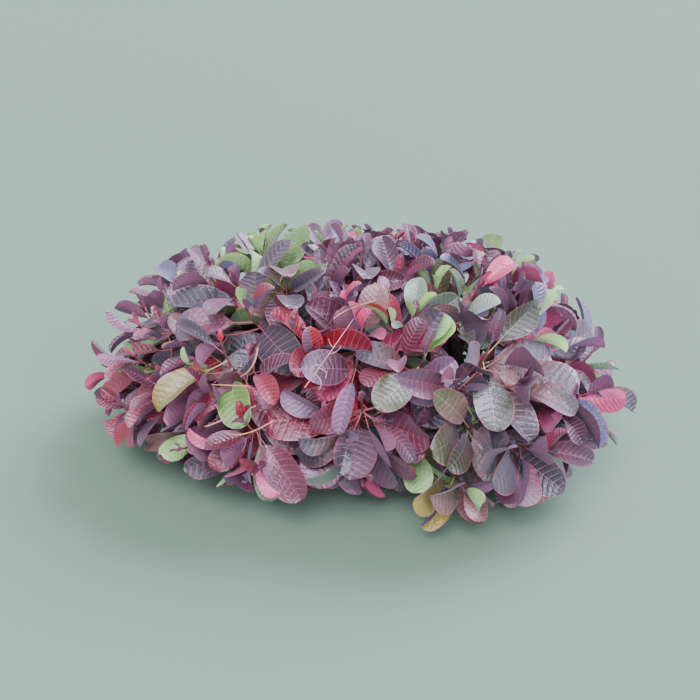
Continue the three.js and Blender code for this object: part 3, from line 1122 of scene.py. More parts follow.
@dataclass
class Growth:
    """The growth rule of the whole plant, from its trunk to its leaves."""

    crown: Crown = Crown()
    trunk_height: float = 0.066
    trunk_lean: tuple[float, float] = (0.005, -0.003)
    bough_outward: float = 0.6
    bough_upward: float = 0.25
    bough_entry: float = 0.005
    bough_shortest: float = 0.45
    bough_search: int = 60
    place_count: int = 900
    places_per_shoot: int = 10
    fewest_shoots: int = 5
    top_crowding: float = 1.35
    wall_margin: float = 0.020
    fine_wall_margin: float = 0.004
    tip_share: float = 0.86
    tip_scatter: float = 0.05
    lowest_sine: float = -0.5
    outward_pull: float = 0.7
    upward_pull: float = 0.6
    sway: float = 0.16
    bow: float = 0.45
    place_seed: int = 1000
    leaf_seed: int = 5000
    form_seed: int = 90000
    tint_seed: int = 40000
    shoot_radii: tuple[float, float] = (0.0022, 0.0011)
    twig_radii: tuple[float, float] = (0.0013, 0.0008)
    twigs_per_shoot: float = 1.4
    twig_leaves: int = 6
    twig_leaf_scale: float = 0.88
    leaves_per_shoot: int = 8
    deep_leaves: int = 2
    young_leaves: int = 4
    twig_starts: tuple[float, ...] = (0.3, 0.42, 0.54)
    twig_shortening: tuple[float, float] = (0.02, 0.16)
    limb_steps: int = 8
    leaf_length: float = 0.089
    stalk_share: float = 0.21
    stalk_scatter: tuple[float, float] = (0.8, 1.15)
    young_stalk: float = 0.5
    stray_share: float = 0.3
    flush_share: float = 0.5
    young_tint_share: float = 0.6
    folded: float = math.radians(30)
    misfit: float = 1.6
    blade_middle: float = 0.55
    width_share: float = 0.56
    width_scatter: tuple[float, float] = (0.8, 0.99)
    tries: int = 24
    leans: int = 4
    lean_step: float = 0.19
    nudge: float = math.radians(17)
    shrink: float = 0.016
    size_scatter: float = 0.1
    turn_scatter: float = math.radians(14)
    angle_scatter: float = math.radians(11)
    full_grown: float = 3.8
    lowest_node: float = 0.08
    young_share: float = 0.56
    young_size: float = 0.86
    young_size_step: float = 0.17
    young_spacing: float = 0.0011
    first_node: float = 0.004
    node_spacing: float = 0.007
    spacing_growth: float = 1.22
    tip_angle: float = math.radians(24)
    spread_angle: float = math.radians(84)
    light_pull: float = 0.35
    sag_slope: float = 0.8
    ground_clearance: float = 0.004
    small_leaf: float = 0.034
    bud_leaf: float = 0.017
    spare_reach: float = 0.012
    deep_skirt: float = 0.12
    masses: list[Mass] = field(default_factory=list)
    crowding: Crowding = field(default_factory=Crowding)

    def trunk_line(self) -> LimbLine:
        """Gives the trunk's line, which starts straight up so that its foot is cut level."""
        top = Vector((*self.trunk_lean, self.trunk_height))
        return LimbLine(Vector(), Vector((0.0, 0.0, self.trunk_height / 2)), top)

    def grow(self) -> None:
        """Grows the masses of foliage with their boughs, shoots, twigs and leaves."""
        self.plan_masses()
        self.deal_places()
        for mass in self.masses:
            self.grow_shoots(mass)
        limbs = [self.trunk_line()] + [mass.bough for mass in self.masses]
        limbs += [shoot.line for mass in self.masses for shoot in mass.shoots + mass.twigs]
        for line in limbs:
            self.crowding.add_limb(line.places(0.0, 1.0, self.limb_steps))
        for mass in self.masses:
            for shoot in mass.shoots:
                self.dress_shoot(mass, shoot, self.leaves_per_shoot)
        for mass in self.masses:
            for twig in mass.twigs:
                self.dress_shoot(mass, twig, self.twig_leaves)
        for mass in self.masses:
            for shoot in mass.shoots:
                self.dress_shoot(mass, shoot, self.deep_leaves, self.leaves_per_shoot)
        self.place_accents()

    def plan_masses(self) -> None:
        """Finds each mass's cell, hub and bough."""
        trunk = self.trunk_line()
        for ring in RINGS:
            for i, name in enumerate(ring.names):
                turn = i / len(ring.names) * 2.0 * math.pi
                fork = ring.fork_heights[i % len(ring.fork_heights)]
                start = trunk.at(fork / self.trunk_height)
                hub = self.crown.point(turn, ring.hub_lift, ring.hub_share)
                bend = Vector(
                    (
                        start.x + (hub.x - start.x) * self.bough_outward,
                        start.y + (hub.y - start.y) * self.bough_outward,
                        start.z + (hub.z - start.z) * self.bough_upward,
                    )
                )
                centre = self.crown.point(turn, ring.lift, ring.share)
                self.masses.append(Mass(name, centre, hub, LimbLine(start, bend, hub)))
        for mass in self.masses:
            mass.bough_end = self.find_bough_end(mass)

    def depth_in_cell(self, place: Vector, mass: Mass) -> float:
        """Measures how far inside a mass's cell a place lies.

        Args:
            place: The place.
            mass: The mass.

        Returns:
            The distance to the cell's nearest wall.
        """
        depth = math.inf
        for other in self.masses:
            if other is not mass:
                apart = other.centre - mass.centre
                middle = (mass.centre + other.centre) / 2
                depth = min(depth, (middle - place).dot(apart) / apart.length)
        return depth

    def find_bough_end(self, mass: Mass) -> float:
        """Finds where a bough has come well inside its mass's cell.

        Args:
            mass: The mass that the bough carries.

        Returns:
            The share of the bough's line.
        """
        first = math.ceil(self.bough_shortest * self.bough_search)
        shares = [i / self.bough_search for i in range(first, self.bough_search)]
        return next(s for s in shares if self.depth_in_cell(mass.bough.at(s), mass) > self.bough_entry)

    def deal_places(self) -> None:
        """Deals the places where shoots could end to the masses whose cells they fall in."""
        for i in range(self.place_count):
            scatter = Scatter(self.place_seed + i)
            fall = ((i + 0.5) / self.place_count) ** self.top_crowding
            lift = math.asin(1.0 + (self.lowest_sine - 1.0) * fall)
            turn = i * GOLDEN_TURN
            share = self.tip_share + scatter.swing() * self.tip_scatter
            level = self.crown.point(turn, lift, share)
            owner = min(self.masses, key=lambda mass: (mass.centre - level).length)
            tip = self.crown.point(turn, lift, share * HABITS[owner.name].reach)
            depth = self.depth_in_cell(tip, owner)
            if depth > self.fine_wall_margin:
                sway = Vector((scatter.swing(), scatter.swing(), scatter.swing()))
                pull = self.crown.outward(tip) * self.outward_pull + UP * self.upward_pull
                heading = (pull + sway * self.sway).normalized()
                owner.places.append(Place(i, tip, heading, depth))

    def grow_shoots(self, mass: Mass) -> None:
        """Grows a mass's shoots from its hub, and finer side twigs from the shoots.

        Args:
            mass: The mass that they belong to.
        """
        inner = [place for place in mass.places if place.depth > self.wall_margin]
        count = max(self.fewest_shoots, math.floor(len(inner) / self.places_per_shoot + 0.5))
        tips = [max(inner, key=lambda place: place.depth)]

        def apart(place: Place) -> float:
            """Measures how far a place is from the nearest tip so far."""
            return min((tip.tip - place.tip).length for tip in tips)

        while len(tips) < count:
            tips.append(max(inner, key=apart))
        for tip in tips:
            line = self.shoot_line(mass.hub, tip)
            mass.shoots.append(Shoot(line, tip.number, *self.shoot_radii, 1.0))
        for _ in range(round(count * self.twigs_per_shoot)):
            tip = max(mass.places, key=apart)
            tips.append(tip)
            mass.twigs.append(self.side_twig(mass, tip))

    def shoot_line(self, start: Vector, place: Place) -> LimbLine:
        """Bows a shoot from its start to its place, so that it ends in the place's heading."""
        reach = (place.tip - start).length
        return LimbLine(start, place.tip - place.heading * (self.bow * reach), place.tip)

    def side_twig(self, mass: Mass, place: Place) -> Shoot:
        """Grows a side twig from the nearest part of a mass's shoots.

        Args:
            mass: The mass.
            place: The place that the twig grows to.

        Returns:
            The twig.
        """
        scatter = Scatter(self.place_seed + self.place_count + place.number)
        starts = [(shoot, share) for shoot in mass.shoots for share in self.twig_starts]

        def away(start: tuple[Shoot, float]) -> float:
            """Measures how far a start is from the twig's tip."""
            return (start[0].line.at(start[1]) - place.tip).length

        shoot, share = min(starts, key=away)
        root = shoot.line.at(share)
        pulled = place.tip.lerp(root, scatter.between(*self.twig_shortening))
        line = self.shoot_line(root, replace(place, tip=pulled))
        return Shoot(line, place.number, *self.twig_radii, self.twig_leaf_scale)

    def dress_shoot(self, mass: Mass, shoot: Shoot, count: int, first: int = 0) -> None:
        """Grows leaves on a shoot, from its tip downwards.

        Args:
            mass: The mass that the leaves belong to.
            shoot: The shoot.
            count: How many full leaves to try.
            first: Number of the first of them, counted from the tip.
        """
        tint = self.spray_tint(shoot)
        numbers = [float(first + i) for i in range(count)]
        if first == 0:
            numbers = [-1.0 - i for i in range(self.young_leaves)] + numbers
        for number in numbers:
            for attempt in range(self.tries):
                leaf = self.leaf(mass.name, shoot, number, attempt)
                if self.inside(leaf, HABITS[mass.name].leaf_reach):
                    shape = self.crowding.shape_of(leaf)
                    if not self.crowding.blocks(shape):
                        self.crowding.add_leaf(shape)
                        self.colour_leaf(leaf, shoot, number, tint)
                        mass.leaves.append(leaf)
                        break

    def leaf(self, mass: str, shoot: Shoot, number: float, attempt: int) -> Leaf:
        """Works out one leaf. Numbers under 0 are the youngest leaves, round the very tip.

        Args:
            mass: Name of the mass that it belongs to.
            shoot: The shoot that bears it.
            number: The leaf's number from the tip.
            attempt: How many times it has been tried already.

        Returns:
            The leaf.
        """
        habit = HABITS[mass]
        young = number < 0
        back = -number * self.young_spacing if young else self.back_from_tip(number)
        share = max(self.lowest_node, 1.0 - back / shoot.length)
        heading = shoot.line.heading(share)
        across = square_to(heading, reference_for(shoot.line.heading(1.0)))
        beside = heading.cross(across)
        tier, lean = divmod(attempt, self.leans)
        nudge = math.ceil(tier / 2) * (1 if tier % 2 == 0 else -1) * self.nudge
        seed = shoot.number * self.leaves_per_shoot + int(number)
        scatter = Scatter(self.leaf_seed + seed)
        turn = number * GOLDEN_TURN + scatter.swing() * self.turn_scatter + nudge
        radial = across * math.cos(turn) + beside * math.sin(turn)
        age = 0.0 if young else min(1.0, number / self.full_grown)
        opening = self.tip_angle + (self.spread_angle - self.tip_angle) * age
        if young:
            opening = self.tip_angle * (1.0 + number / (self.young_leaves + 1.0))
        spread = (1.0 - self.lean_step * lean) * (opening + scatter.swing() * self.angle_scatter)
        outward = self.crown.outward(shoot.line.end)
        sagging = Vector((outward.x, outward.y, 0.0)).normalized() - UP * self.sag_slope
        sag = habit.leaf_sag * age
        pointing = (heading * math.cos(spread) + radial * math.sin(spread) + sagging * sag).normalized()
        facing = heading * math.sin(spread) - radial * math.cos(spread) + UP * self.light_pull
        ripeness = self.young_share + (1.0 - self.young_share) * math.sin(age * math.pi / 2)
        if young:
            ripeness = self.young_share * (self.young_size + self.young_size_step * number)
        size = ripeness * (1.0 + scatter.swing() * self.size_scatter) * (1.0 - self.shrink * attempt)
        length = self.leaf_length * size * shoot.leaf_scale * habit.leaf_scale
        form_scatter = Scatter(self.form_seed + seed)
        stalk = self.stalk_share * form_scatter.between(*self.stalk_scatter)
        if young:
            stalk *= self.young_stalk
        blade = length * (1.0 - stalk)
        breadth = self.width_share * habit.leaf_breadth
        grade = Grade.FULL
        if blade < self.small_leaf:
            grade = Grade.SMALL if blade > self.bud_leaf else Grade.BUD
        return Leaf(
            root=shoot.line.at(share),
            pointing=pointing,
            facing=square_to(pointing, facing.normalized()),
            stalk=length * stalk,
            blade=blade,
            half_width=length * breadth * form_scatter.between(*self.width_scatter) / 2,
            form=LeafForm.scattered(self.form_seed * 2 + seed, age),
            grade=grade,
        )

    def back_from_tip(self, number: float) -> float:
        """Measures how far behind the shoot's tip a numbered leaf stands."""
        return self.first_node + self.node_spacing * number**self.spacing_growth

    def inside(self, leaf: Leaf, reach: float) -> bool:
        """Tells whether a leaf stays over the ground and within the plant's reach.

        Args:
            leaf: The leaf.
            reach: How far it may go, as a share of the way from the crown's middle to its surface.

        Returns:
            True if it does.
        """
        points = leaf.places(BLADES[leaf.grade].coarse)
        low, high = points.min(0), points.max(0)
        spare = self.spare_reach
        crown = self.crown
        level = points[:, 2] - crown.widest_level
        upward = level / np.where(level > 0, crown.rise, self.deep_skirt)
        beside = (points[:, 0] / crown.half_width) ** 2 + (points[:, 1] / crown.half_depth) ** 2
        return bool(
            low[2] > self.ground_clearance
            and (low > np.array(CAD_LOW) - spare).all()
            and (high < np.array(CAD_HIGH) + spare).all()
            and (beside + upward**2).max() < reach**2
        )

    def direction(self, place: Vector) -> Vector:
        """Gives the direction of a place from the crown's middle, as if the crown were round.

        Args:
            place: The place.

        Returns:
            The direction.
        """
        crown = self.crown
        level = place.z - crown.widest_level
        upward = level / (crown.rise if level > 0 else crown.skirt)
        return Vector((place.x / crown.half_width, place.y / crown.half_depth, upward)).normalized()

    def drift_at(self, place: Vector) -> Drift:
        """Finds the drift of colour that a place in the crown belongs to."""
        here = self.direction(place)
        return max(DRIFTS, key=lambda drift: toward(drift.turn, drift.lift).dot(here))

    def spray_tint(self, shoot: Shoot) -> Tint:
        """Deals the tint of a whole spray."""
        return Scatter(self.tint_seed + shoot.number).pick(self.drift_at(shoot.line.end).tints)

    def colour_leaf(self, leaf: Leaf, shoot: Shoot, number: float, tint: Tint) -> None:
        """Gives a leaf its spray's tint, or now and then another of its drift.

        Args:
            leaf: The leaf.
            shoot: The shoot that bears it.
            number: The leaf's number from the tip.
            tint: The spray's tint.
        """
        drift = self.drift_at(shoot.line.end)
        scatter = Scatter(self.tint_seed * 2 + shoot.number * self.leaves_per_shoot + int(number))
        if scatter.share() < self.stray_share:
            tint = scatter.pick(drift.tints)
        if number < 1.0 and scatter.share() < self.young_tint_share:
            tint = YOUNG_TINTS.get(tint, tint)
        leaf.tint = tint
        leaf.shade = int(scatter.share() * len(SHADES))
        leaf.marked = scatter.share() < drift.marked
        showing = Showing.GREEN
        if tint not in GREEN_TINTS:
            showing = Showing.TURNED if leaf.form.turned() else Showing.PURPLE
        leaf.under = scatter.pick(UNDER_SHARES[showing])
        if tint in FLUSHES and scatter.share() < self.flush_share:
            leaf.base_tint = FLUSHES[tint]

    def misplaced(self, leaf: Leaf, accent: Accent) -> float:
        """Measures how far a leaf is from what an accent asks for.

        Args:
            leaf: The leaf.
            accent: The accent.

        Returns:
            The distance in blade lengths, and more if the leaf should be folded and isn't.
        """
        spot = self.crown.point(math.radians(accent.turn), math.radians(accent.lift), accent.share)
        middle = leaf.blade_base() + leaf.pointing * (leaf.blade * self.blade_middle)
        fits = leaf.form.fold > self.folded or not accent.slim
        return (middle - spot).length * (1.0 if fits else self.misfit) / leaf.blade

    def place_accents(self) -> None:
        """Gives each accent's tint to the leaf that stands nearest to its place."""
        leaves = [leaf for mass in self.masses for leaf in mass.leaves if leaf.grade is Grade.FULL]
        for accent in ACCENTS:
            leaf = min(leaves, key=partial(self.misplaced, accent=accent))
            leaf.tint = accent.tint
            leaf.shade = accent.shade
            # The accent's painted sheen tint for the lit left half goes with it
            leaf.left_tint = accent.left_tint
            leaf.base_tint = None
            leaves.remove(leaf)


# Finishes


@dataclass
class NodeSketch:
    """Writes the nodes of a material or of a geometry tree in few words."""

    NOISE_RANGE = (0.3, 0.7)

    tree: bpy.types.NodeTree

    def add(self, kind: str, sockets: dict | None = None, **values: object) -> bpy.types.Node:
        """Adds a node.

        Args:
            kind: Blender's name of the node.
            sockets: For each input by its name or number, its value or the socket that feeds it.
            **values: Plain properties to set on it.

        Returns:
            The node.
        """
        node = self.tree.nodes.new(kind)
        for name, value in values.items():
            setattr(node, name, value)
        self.feed(node, sockets or {})
        return node

    def feed(self, node: bpy.types.Node, sockets: dict) -> None:
        """Sets or links a node's inputs.

        Args:
            node: The node.
            sockets: For each input by its name or number, its value or the socket that feeds it.
        """
        for key, value in sockets.items():
            if isinstance(value, bpy.types.NodeSocket):
                self.tree.links.new(value, node.inputs[key])
            else:
                node.inputs[key].default_value = value

    def noise(self, scale: float, detail: float = 3.0) -> bpy.types.NodeSocket:
        """Adds noise on the piece's own coordinates.

        Args:
            scale: How fine it is.
            detail: How many finer layers it has.

        Returns:
            Its value.
        """
        where = self.add("ShaderNodeTexCoord").outputs["Object"]
        sockets = {"Scale": scale, "Detail": detail, "Vector": where}
        return self.add("ShaderNodeTexNoise", sockets).outputs["Fac"]

    def ranged(self, value: bpy.types.NodeSocket, low: float, high: float) -> bpy.types.NodeSocket:
        """Spreads a noise value over a range.

        Args:
            value: The noise.
            low: The range's lower end.
            high: The range's upper end.

        Returns:
            The new value.
        """
        first, last = self.NOISE_RANGE
        sockets = {"Value": value, "From Min": first, "From Max": last, "To Min": low, "To Max": high}
        return self.add("ShaderNodeMapRange", sockets).outputs["Result"]

    def bump(
        self,
        height: bpy.types.NodeSocket,
        strength: float,
        distance: float,
        under: bpy.types.NodeSocket | None = None,
    ) -> bpy.types.NodeSocket:
        """Adds relief from a height.

        Args:
            height: The height.
            strength: How strongly it shows.
            distance: How high it stands, in metres.
            under: The normal of another relief under it.

        Returns:
            Its normal.
        """
        sockets = {"Strength": strength, "Distance": distance, "Height": height}
        if under is not None:
            sockets["Normal"] = under
        return self.add("ShaderNodeBump", sockets).outputs["Normal"]


def new_material(name: str, values: dict) -> tuple[bpy.types.Material, NodeSketch, bpy.types.Node]:
    """Makes a material with one main shader.

    Args:
        name: The material's name.
        values: The shader's plain values by their names.

    Returns:
        The material, the sketch of its nodes and its shader.
    """
    material = bpy.data.materials.new(name)
    material.use_nodes = True
    sketch = NodeSketch(material.node_tree)
    shader = material.node_tree.nodes["Principled BSDF"]
    sketch.feed(shader, values)
    return material, sketch, shader


VEIN_MAP = "veins"
BAKE_MAP = "OFBake"


@dataclass(frozen=True)
class LeafFinish:
    """The satin skin of a leaf, with a faint bloom, fine grain and swellings between its veins."""

    name: str
    colour: Colour
    rough: tuple[float, float] = (0.26, 0.5)
    specular_tint: Colour = (0.8, 0.74, 1.0)
    sheen: float = 0.2
    sheen_rough: float = 0.45
    sheen_tint: Colour = (0.7, 0.66, 1.0)
    quilting: tuple[float, float] = (0.32, 0.0008)
    mottle: tuple[float, float] = (0.7, 0.0014)
    grain: tuple[float, float] = (0.25, 0.0004)
    patch_scale: float = 150.0
    mottle_scale: float = 320.0
    grain_scale: float = 1200.0

    def material(self) -> bpy.types.Material:
        """Builds the material.

        Returns:
            The material.
        """
        values = {
            "Base Color": (*self.colour, 1.0),
            "Specular IOR Level": 1.0,
            "Specular Tint": (*self.specular_tint, 1.0),
            "Sheen Weight": self.sheen,
            "Sheen Roughness": self.sheen_rough,
            "Sheen Tint": (*self.sheen_tint, 1.0),
        }
        material, sketch, shader = new_material(self.name, values)
        rough = sketch.ranged(sketch.noise(self.patch_scale), *self.rough)
        grain = sketch.bump(sketch.noise(self.grain_scale, 2.0), *self.grain)
        mottle = sketch.bump(sketch.noise(self.mottle_scale), *self.mottle, grain)
        normal = sketch.bump(self.swellings(sketch), *self.quilting, mottle)
        sketch.feed(shader, {"Roughness": rough, "Normal": normal})
        return material

    def swellings(self, sketch: NodeSketch) -> bpy.types.NodeSocket:
        """Adds the swell of the blade between its side veins, told on the leaf's vein map.

        Args:
            sketch: The material's nodes.

        Returns:
            The height of the swell.
        """
        where = sketch.add("ShaderNodeUVMap", uv_map=VEIN_MAP).outputs["UV"]
        beat = sketch.add("ShaderNodeSeparateXYZ", {"Vector": where}).outputs["Y"]
        turns = sketch.add("ShaderNodeMath", {0: beat, 1: 2.0 * math.pi}, operation="MULTIPLY")
        wave = sketch.add("ShaderNodeMath", {0: turns.outputs["Value"]}, operation="COSINE")
        swell = sketch.add("ShaderNodeMath", {0: wave.outputs["Value"], 1: -0.5}, operation="MULTIPLY")
        return swell.outputs["Value"]


@dataclass(frozen=True)
class BarkFinish:
    """Matt bark with long cracks, or the smoother skin of a shoot or twig."""

    name: str
    dark: Colour
    light: Colour
    rough: tuple[float, float] = (0.62, 0.9)
    grain: float = 260.0
    relief: float = 0.6
    depth: float = 0.0008
    stretch: float = 0.25
    detail: float = 5.0

    def material(self) -> bpy.types.Material:
        """Builds the material.

        Returns:
            The material.
        """
        material, sketch, shader = new_material(self.name, {})
        where = sketch.add("ShaderNodeTexCoord").outputs["Object"]
        drawn = sketch.add("ShaderNodeMapping", {"Scale": (1.0, 1.0, self.stretch), "Vector": where})
        sockets = {"Scale": self.grain, "Detail": self.detail, "Vector": drawn.outputs["Vector"]}
        cracks = sketch.add("ShaderNodeTexNoise", sockets).outputs["Fac"]
        mix = sketch.add("ShaderNodeMix", {"Factor": sketch.ranged(cracks, 0.0, 1.0)}, data_type="RGBA")
        colours = [socket for socket in mix.inputs if socket.type == "RGBA"]
        for socket, colour in zip(colours, (self.dark, self.light)):
            socket.default_value = (*colour, 1.0)
        sockets = {
            "Base Color": next(socket for socket in mix.outputs if socket.type == "RGBA"),
            "Roughness": sketch.ranged(cracks, *self.rough),
            "Normal": sketch.bump(cracks, self.relief, self.depth),
        }
        sketch.feed(shader, sockets)
        return material


@dataclass(frozen=True)
class PlainFinish:
    """The smooth skin of a leaf stalk or a bare stick, or the floor's paper."""

    name: str
    colour: Colour
    rough: float = 0.5

    def material(self) -> bpy.types.Material:
        """Builds the material."""
        values = {"Base Color": (*self.colour, 1.0), "Roughness": self.rough}
        return new_material(self.name, values)[0]


# Meshes


@dataclass
class BladeArrays:
    """Collects blades, and makes one mesh of them.

    Its baking map gives each blade two square cells, one for each skin.
    """

    CELL_EDGE = 0.04

    cells: int
    runs: dict[str, list[np.ndarray]] = field(default_factory=dict)
    count: int = 0
    used: int = 0

    def add(self, points: np.ndarray, blade: BladeMesh, slots: np.ndarray) -> None:
        """Adds a blade.

        Args:
            points: Where its corners lie.
            blade: The flat blade that it was bent from.
            slots: The material slot of each face.
        """
        corners = blade.corners
        under = np.repeat(blade.parts >= Part.UNDER.value, blade.sizes)
        under &= np.repeat(blade.parts != Part.OTHER_HALF.value, blade.sizes)
        side = math.ceil(math.sqrt(2 * self.cells))
        cell = 2 * self.used + under
        across = 0.5 + (0.5 - self.CELL_EDGE) * blade.across[corners]
        along = self.CELL_EDGE + (1.0 - 2.0 * self.CELL_EDGE) * blade.along[corners]
        made = {
            "points": points,
            "corners": corners + self.count,
            "sizes": blade.sizes,
            "slots": slots,
            "rims": blade.rim,
            VEIN_MAP: np.stack([blade.u[corners], blade.beat[corners]], 1),
            BAKE_MAP: np.stack([across + cell % side, along + cell // side], 1) / side,
        }
        for key, values in made.items():
            self.runs.setdefault(key, []).append(values)
        self.count += len(points)
        self.used += 1

    def mesh(self, name: str) -> bpy.types.Mesh:
        """Makes the mesh, smooth but for its rims.

        Args:
            name: The mesh's name.

        Returns:
            The mesh.
        """
        mesh = bpy.data.meshes.new(name)
        made = {key: np.concatenate(values) for key, values in self.runs.items()}
        sizes = made["sizes"]
        mesh.vertices.add(len(made["points"]))
        mesh.vertices.foreach_set("co", made["points"].astype(np.float32).ravel())
        mesh.loops.add(len(made["corners"]))
        mesh.loops.foreach_set("vertex_index", made["corners"].astype(np.int32))
        mesh.polygons.add(len(sizes))
        starts = np.concatenate([[0], np.cumsum(sizes)[:-1]])
        for key, values in (("loop_start", starts), ("material_index", made["slots"])):
            mesh.polygons.foreach_set(key, values.astype(np.int32))
        mesh.polygons.foreach_set("use_smooth", np.ones(len(sizes), bool))
        mesh.update(calc_edges=True)
        for key in (BAKE_MAP, VEIN_MAP):
            layer = mesh.uv_layers.new(name=key)
            layer.data.foreach_set("uv", made[key].astype(np.float32).ravel())
        ends = np.zeros(len(mesh.edges) * 2, np.int32)
        mesh.edges.foreach_get("vertices", ends)
        sharp = made["rims"][ends.reshape(-1, 2)].all(1)
        mesh.attributes.new("sharp_edge", "BOOLEAN", "EDGE").data.foreach_set("value", sharp)
        mesh.validate()
        return mesh


def put_in_scene(name: str, data: bpy.types.ID) -> bpy.types.Object:
    """Makes an object and puts it in the scene.

    Args:
        name: The object's name.
        data: Its mesh, camera or light.

    Returns:
        The object.
    """
    thing = bpy.data.objects.new(name, data)
    bpy.context.scene.collection.objects.link(thing)
    return thing


def place_piece(mesh: bpy.types.Mesh, name: str, slot: str, *nodes: str) -> bpy.types.Object:
    """Puts a finished mesh in the scene as a piece of the plant.

    Args:
        mesh: The mesh.
        name: The piece's name.
        slot: Not used.
        *nodes: The solids that it stands for.

    Returns:
        The piece.
    """
    piece = put_in_scene(name, mesh)
    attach(piece, BODY)
    if nodes:
        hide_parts(*nodes)
    return piece


@dataclass
class Foliage:
    """The blades of one mass, joined into one piece."""

    mass: Mass
    finishes: dict[str, bpy.types.Material]
    rib_share: float = 0.55
    margin_share: float = 0.6

    def build(self) -> bpy.types.Object:
        """Builds and dresses the piece.

        Returns:
            The piece.
        """
        arrays = BladeArrays(len(self.mass.leaves))
        names: list[str] = []
        for leaf in self.mass.leaves:
            blade = BLADES[leaf.grade]
            used = []
            for part in Part:
                for band in range(BANDS):
                    finish = self.finish_for(leaf, part, band)
                    if finish not in names:
                        names.append(finish)
                    used.append(names.index(finish))
            arrays.add(leaf.places(), blade, np.array(used)[blade.parts * BANDS + blade.bands])
        name = f"leaves_{self.mass.name}"
        mesh = arrays.mesh(name)
        for finish in names:
            mesh.materials.append(self.finishes[finish])
        return place_piece(mesh, name, name, f"foliage_{self.mass.name}")

    def finish_for(self, leaf: Leaf, part: Part, band: int) -> str:
        """Finds the finish of a part of a leaf, and makes it if it is new.

        Args:
            leaf: The leaf.
            part: The part.
            band: The band along the blade, from its base.

        Returns:
            The finish's name.
        """
        # The left half takes the leaf's painted sheen tint, if any: the lit half of a folded leaf in
        # another tint
        tint = leaf.left_tint if part is Part.OTHER_HALF and leaf.left_tint else leaf.tint
        colours = LEAF_COLOURS[tint]
        deep = SHADES[leaf.shade]
        blade = tuple(value * deep for value in colours.blade)
        under, under_vein = UNDER_COLOURS[leaf.under]
        if part in (Part.BLADE, Part.OTHER_HALF):
            name, colour = f"{tint.label()}_{leaf.shade}", blade
            if leaf.base_tint and band < BANDS - 1:
                name += f"_{leaf.base_tint.label()}_{band}"
                start = tuple(value * deep for value in LEAF_COLOURS[leaf.base_tint].blade)
                colour = blend(start, blade, band / (BANDS - 1))
        elif part is Part.RIB:
            name, colour = f"rib_{tint.label()}", blend(colours.blade, colours.rib, self.rib_share)
        elif part is Part.VEIN:
            share = MARKED_VEIN if leaf.marked else PLAIN_VEIN
            kind = "marked" if leaf.marked else "plain"
            name, colour = f"vein_{tint.label()}_{kind}", blend(colours.blade, PALE_VEIN, share)
        elif part is Part.MARGIN:
            name, colour = f"margin_{tint.label()}", blend(colours.blade, colours.margin, self.margin_share)
        elif part is Part.UNDER:
            name, colour = f"under_{leaf.under.value}", under
        else:
            name, colour = f"under_vein_{leaf.under.value}", under_vein
        if name not in self.finishes:
            self.finishes[name] = LeafFinish(name, colour).material()
        return name


# Limbs


class Skin(Enum):
    """The finish of a woody line, by its number in the tree that sweeps it."""

    SHOOT = 0
    TWIG = 1
    PALE_STICK = 2
    TAN_STICK = 3


class StalkSkin(Enum):
    """The finish of a leaf stalk, by its number in the tree that sweeps it."""

    RED = 0
    GREEN = 1


@dataclass
class SweepTree:
    """A node tree that sweeps a round section along lines, by each point's own radius."""

    name: str
    sides: int
    materials: tuple[bpy.types.Material, ...]

    def tree(self) -> bpy.types.NodeTree:
        """Builds the tree: lines to curves, the sweep by their radii, and the finishes by tone.

        Returns:
            The tree.
        """
        tree = bpy.data.node_groups.new(self.name, "GeometryNodeTree")
        inputs = {"Geometry": None, "Sides": self.sides, "Thickness": 1.0}
        kinds = ("NodeSocketGeometry", "NodeSocketInt", "NodeSocketFloat")
        for (name, value), kind in zip(inputs.items(), kinds):
            socket = tree.interface.new_socket(name, in_out="INPUT", socket_type=kind)
            if value is not None:
                socket.default_value = value
        tree.interface.new_socket("Geometry", in_out="OUTPUT", socket_type="NodeSocketGeometry")
        sketch = NodeSketch(tree)
        start = sketch.add("NodeGroupInput").outputs
        curves = sketch.add("GeometryNodeMeshToCurve", {"Mesh": start["Geometry"]})
        radius = self.attribute(sketch, "limb_radius")
        scaled = sketch.add("ShaderNodeMath", {0: radius, 1: start["Thickness"]}, operation="MULTIPLY")
        section = sketch.add(
            "GeometryNodeCurvePrimitiveCircle", {"Resolution": start["Sides"], "Radius": 1.0}
        )
        sockets = {
            "Fill Caps": True,
            "Curve": curves.outputs["Curve"],
            "Scale": scaled.outputs["Value"],
            "Profile Curve": section.outputs["Curve"],
        }
        swept = sketch.add("GeometryNodeCurveToMesh", sockets).outputs["Mesh"]
        smooth = sketch.add("GeometryNodeSetShadeSmooth", {"Geometry": swept}).outputs["Geometry"]
        geometry = sketch.add("GeometryNodeRealizeInstances", {"Geometry": smooth}).outputs["Geometry"]
        tone = self.attribute(sketch, "tone")
        for number, material in enumerate(self.materials):
            past = sketch.add("FunctionNodeCompare", data_type="FLOAT", operation="GREATER_THAN")
            sketch.feed(past, {"A": tone, "B": number - 0.5})
            sockets = {"Material": material, "Geometry": geometry, "Selection": past.outputs["Result"]}
            geometry = sketch.add("GeometryNodeSetMaterial", sockets).outputs["Geometry"]
        sketch.add("NodeGroupOutput", {"Geometry": geometry})
        return tree

    @staticmethod
    def attribute(sketch: NodeSketch, name: str) -> bpy.types.NodeSocket:
        """Reads a value that the lines carry at each point."""
        node = sketch.add("GeometryNodeInputNamedAttribute", {"Name": name}, data_type="FLOAT")
        return node.outputs["Attribute"]


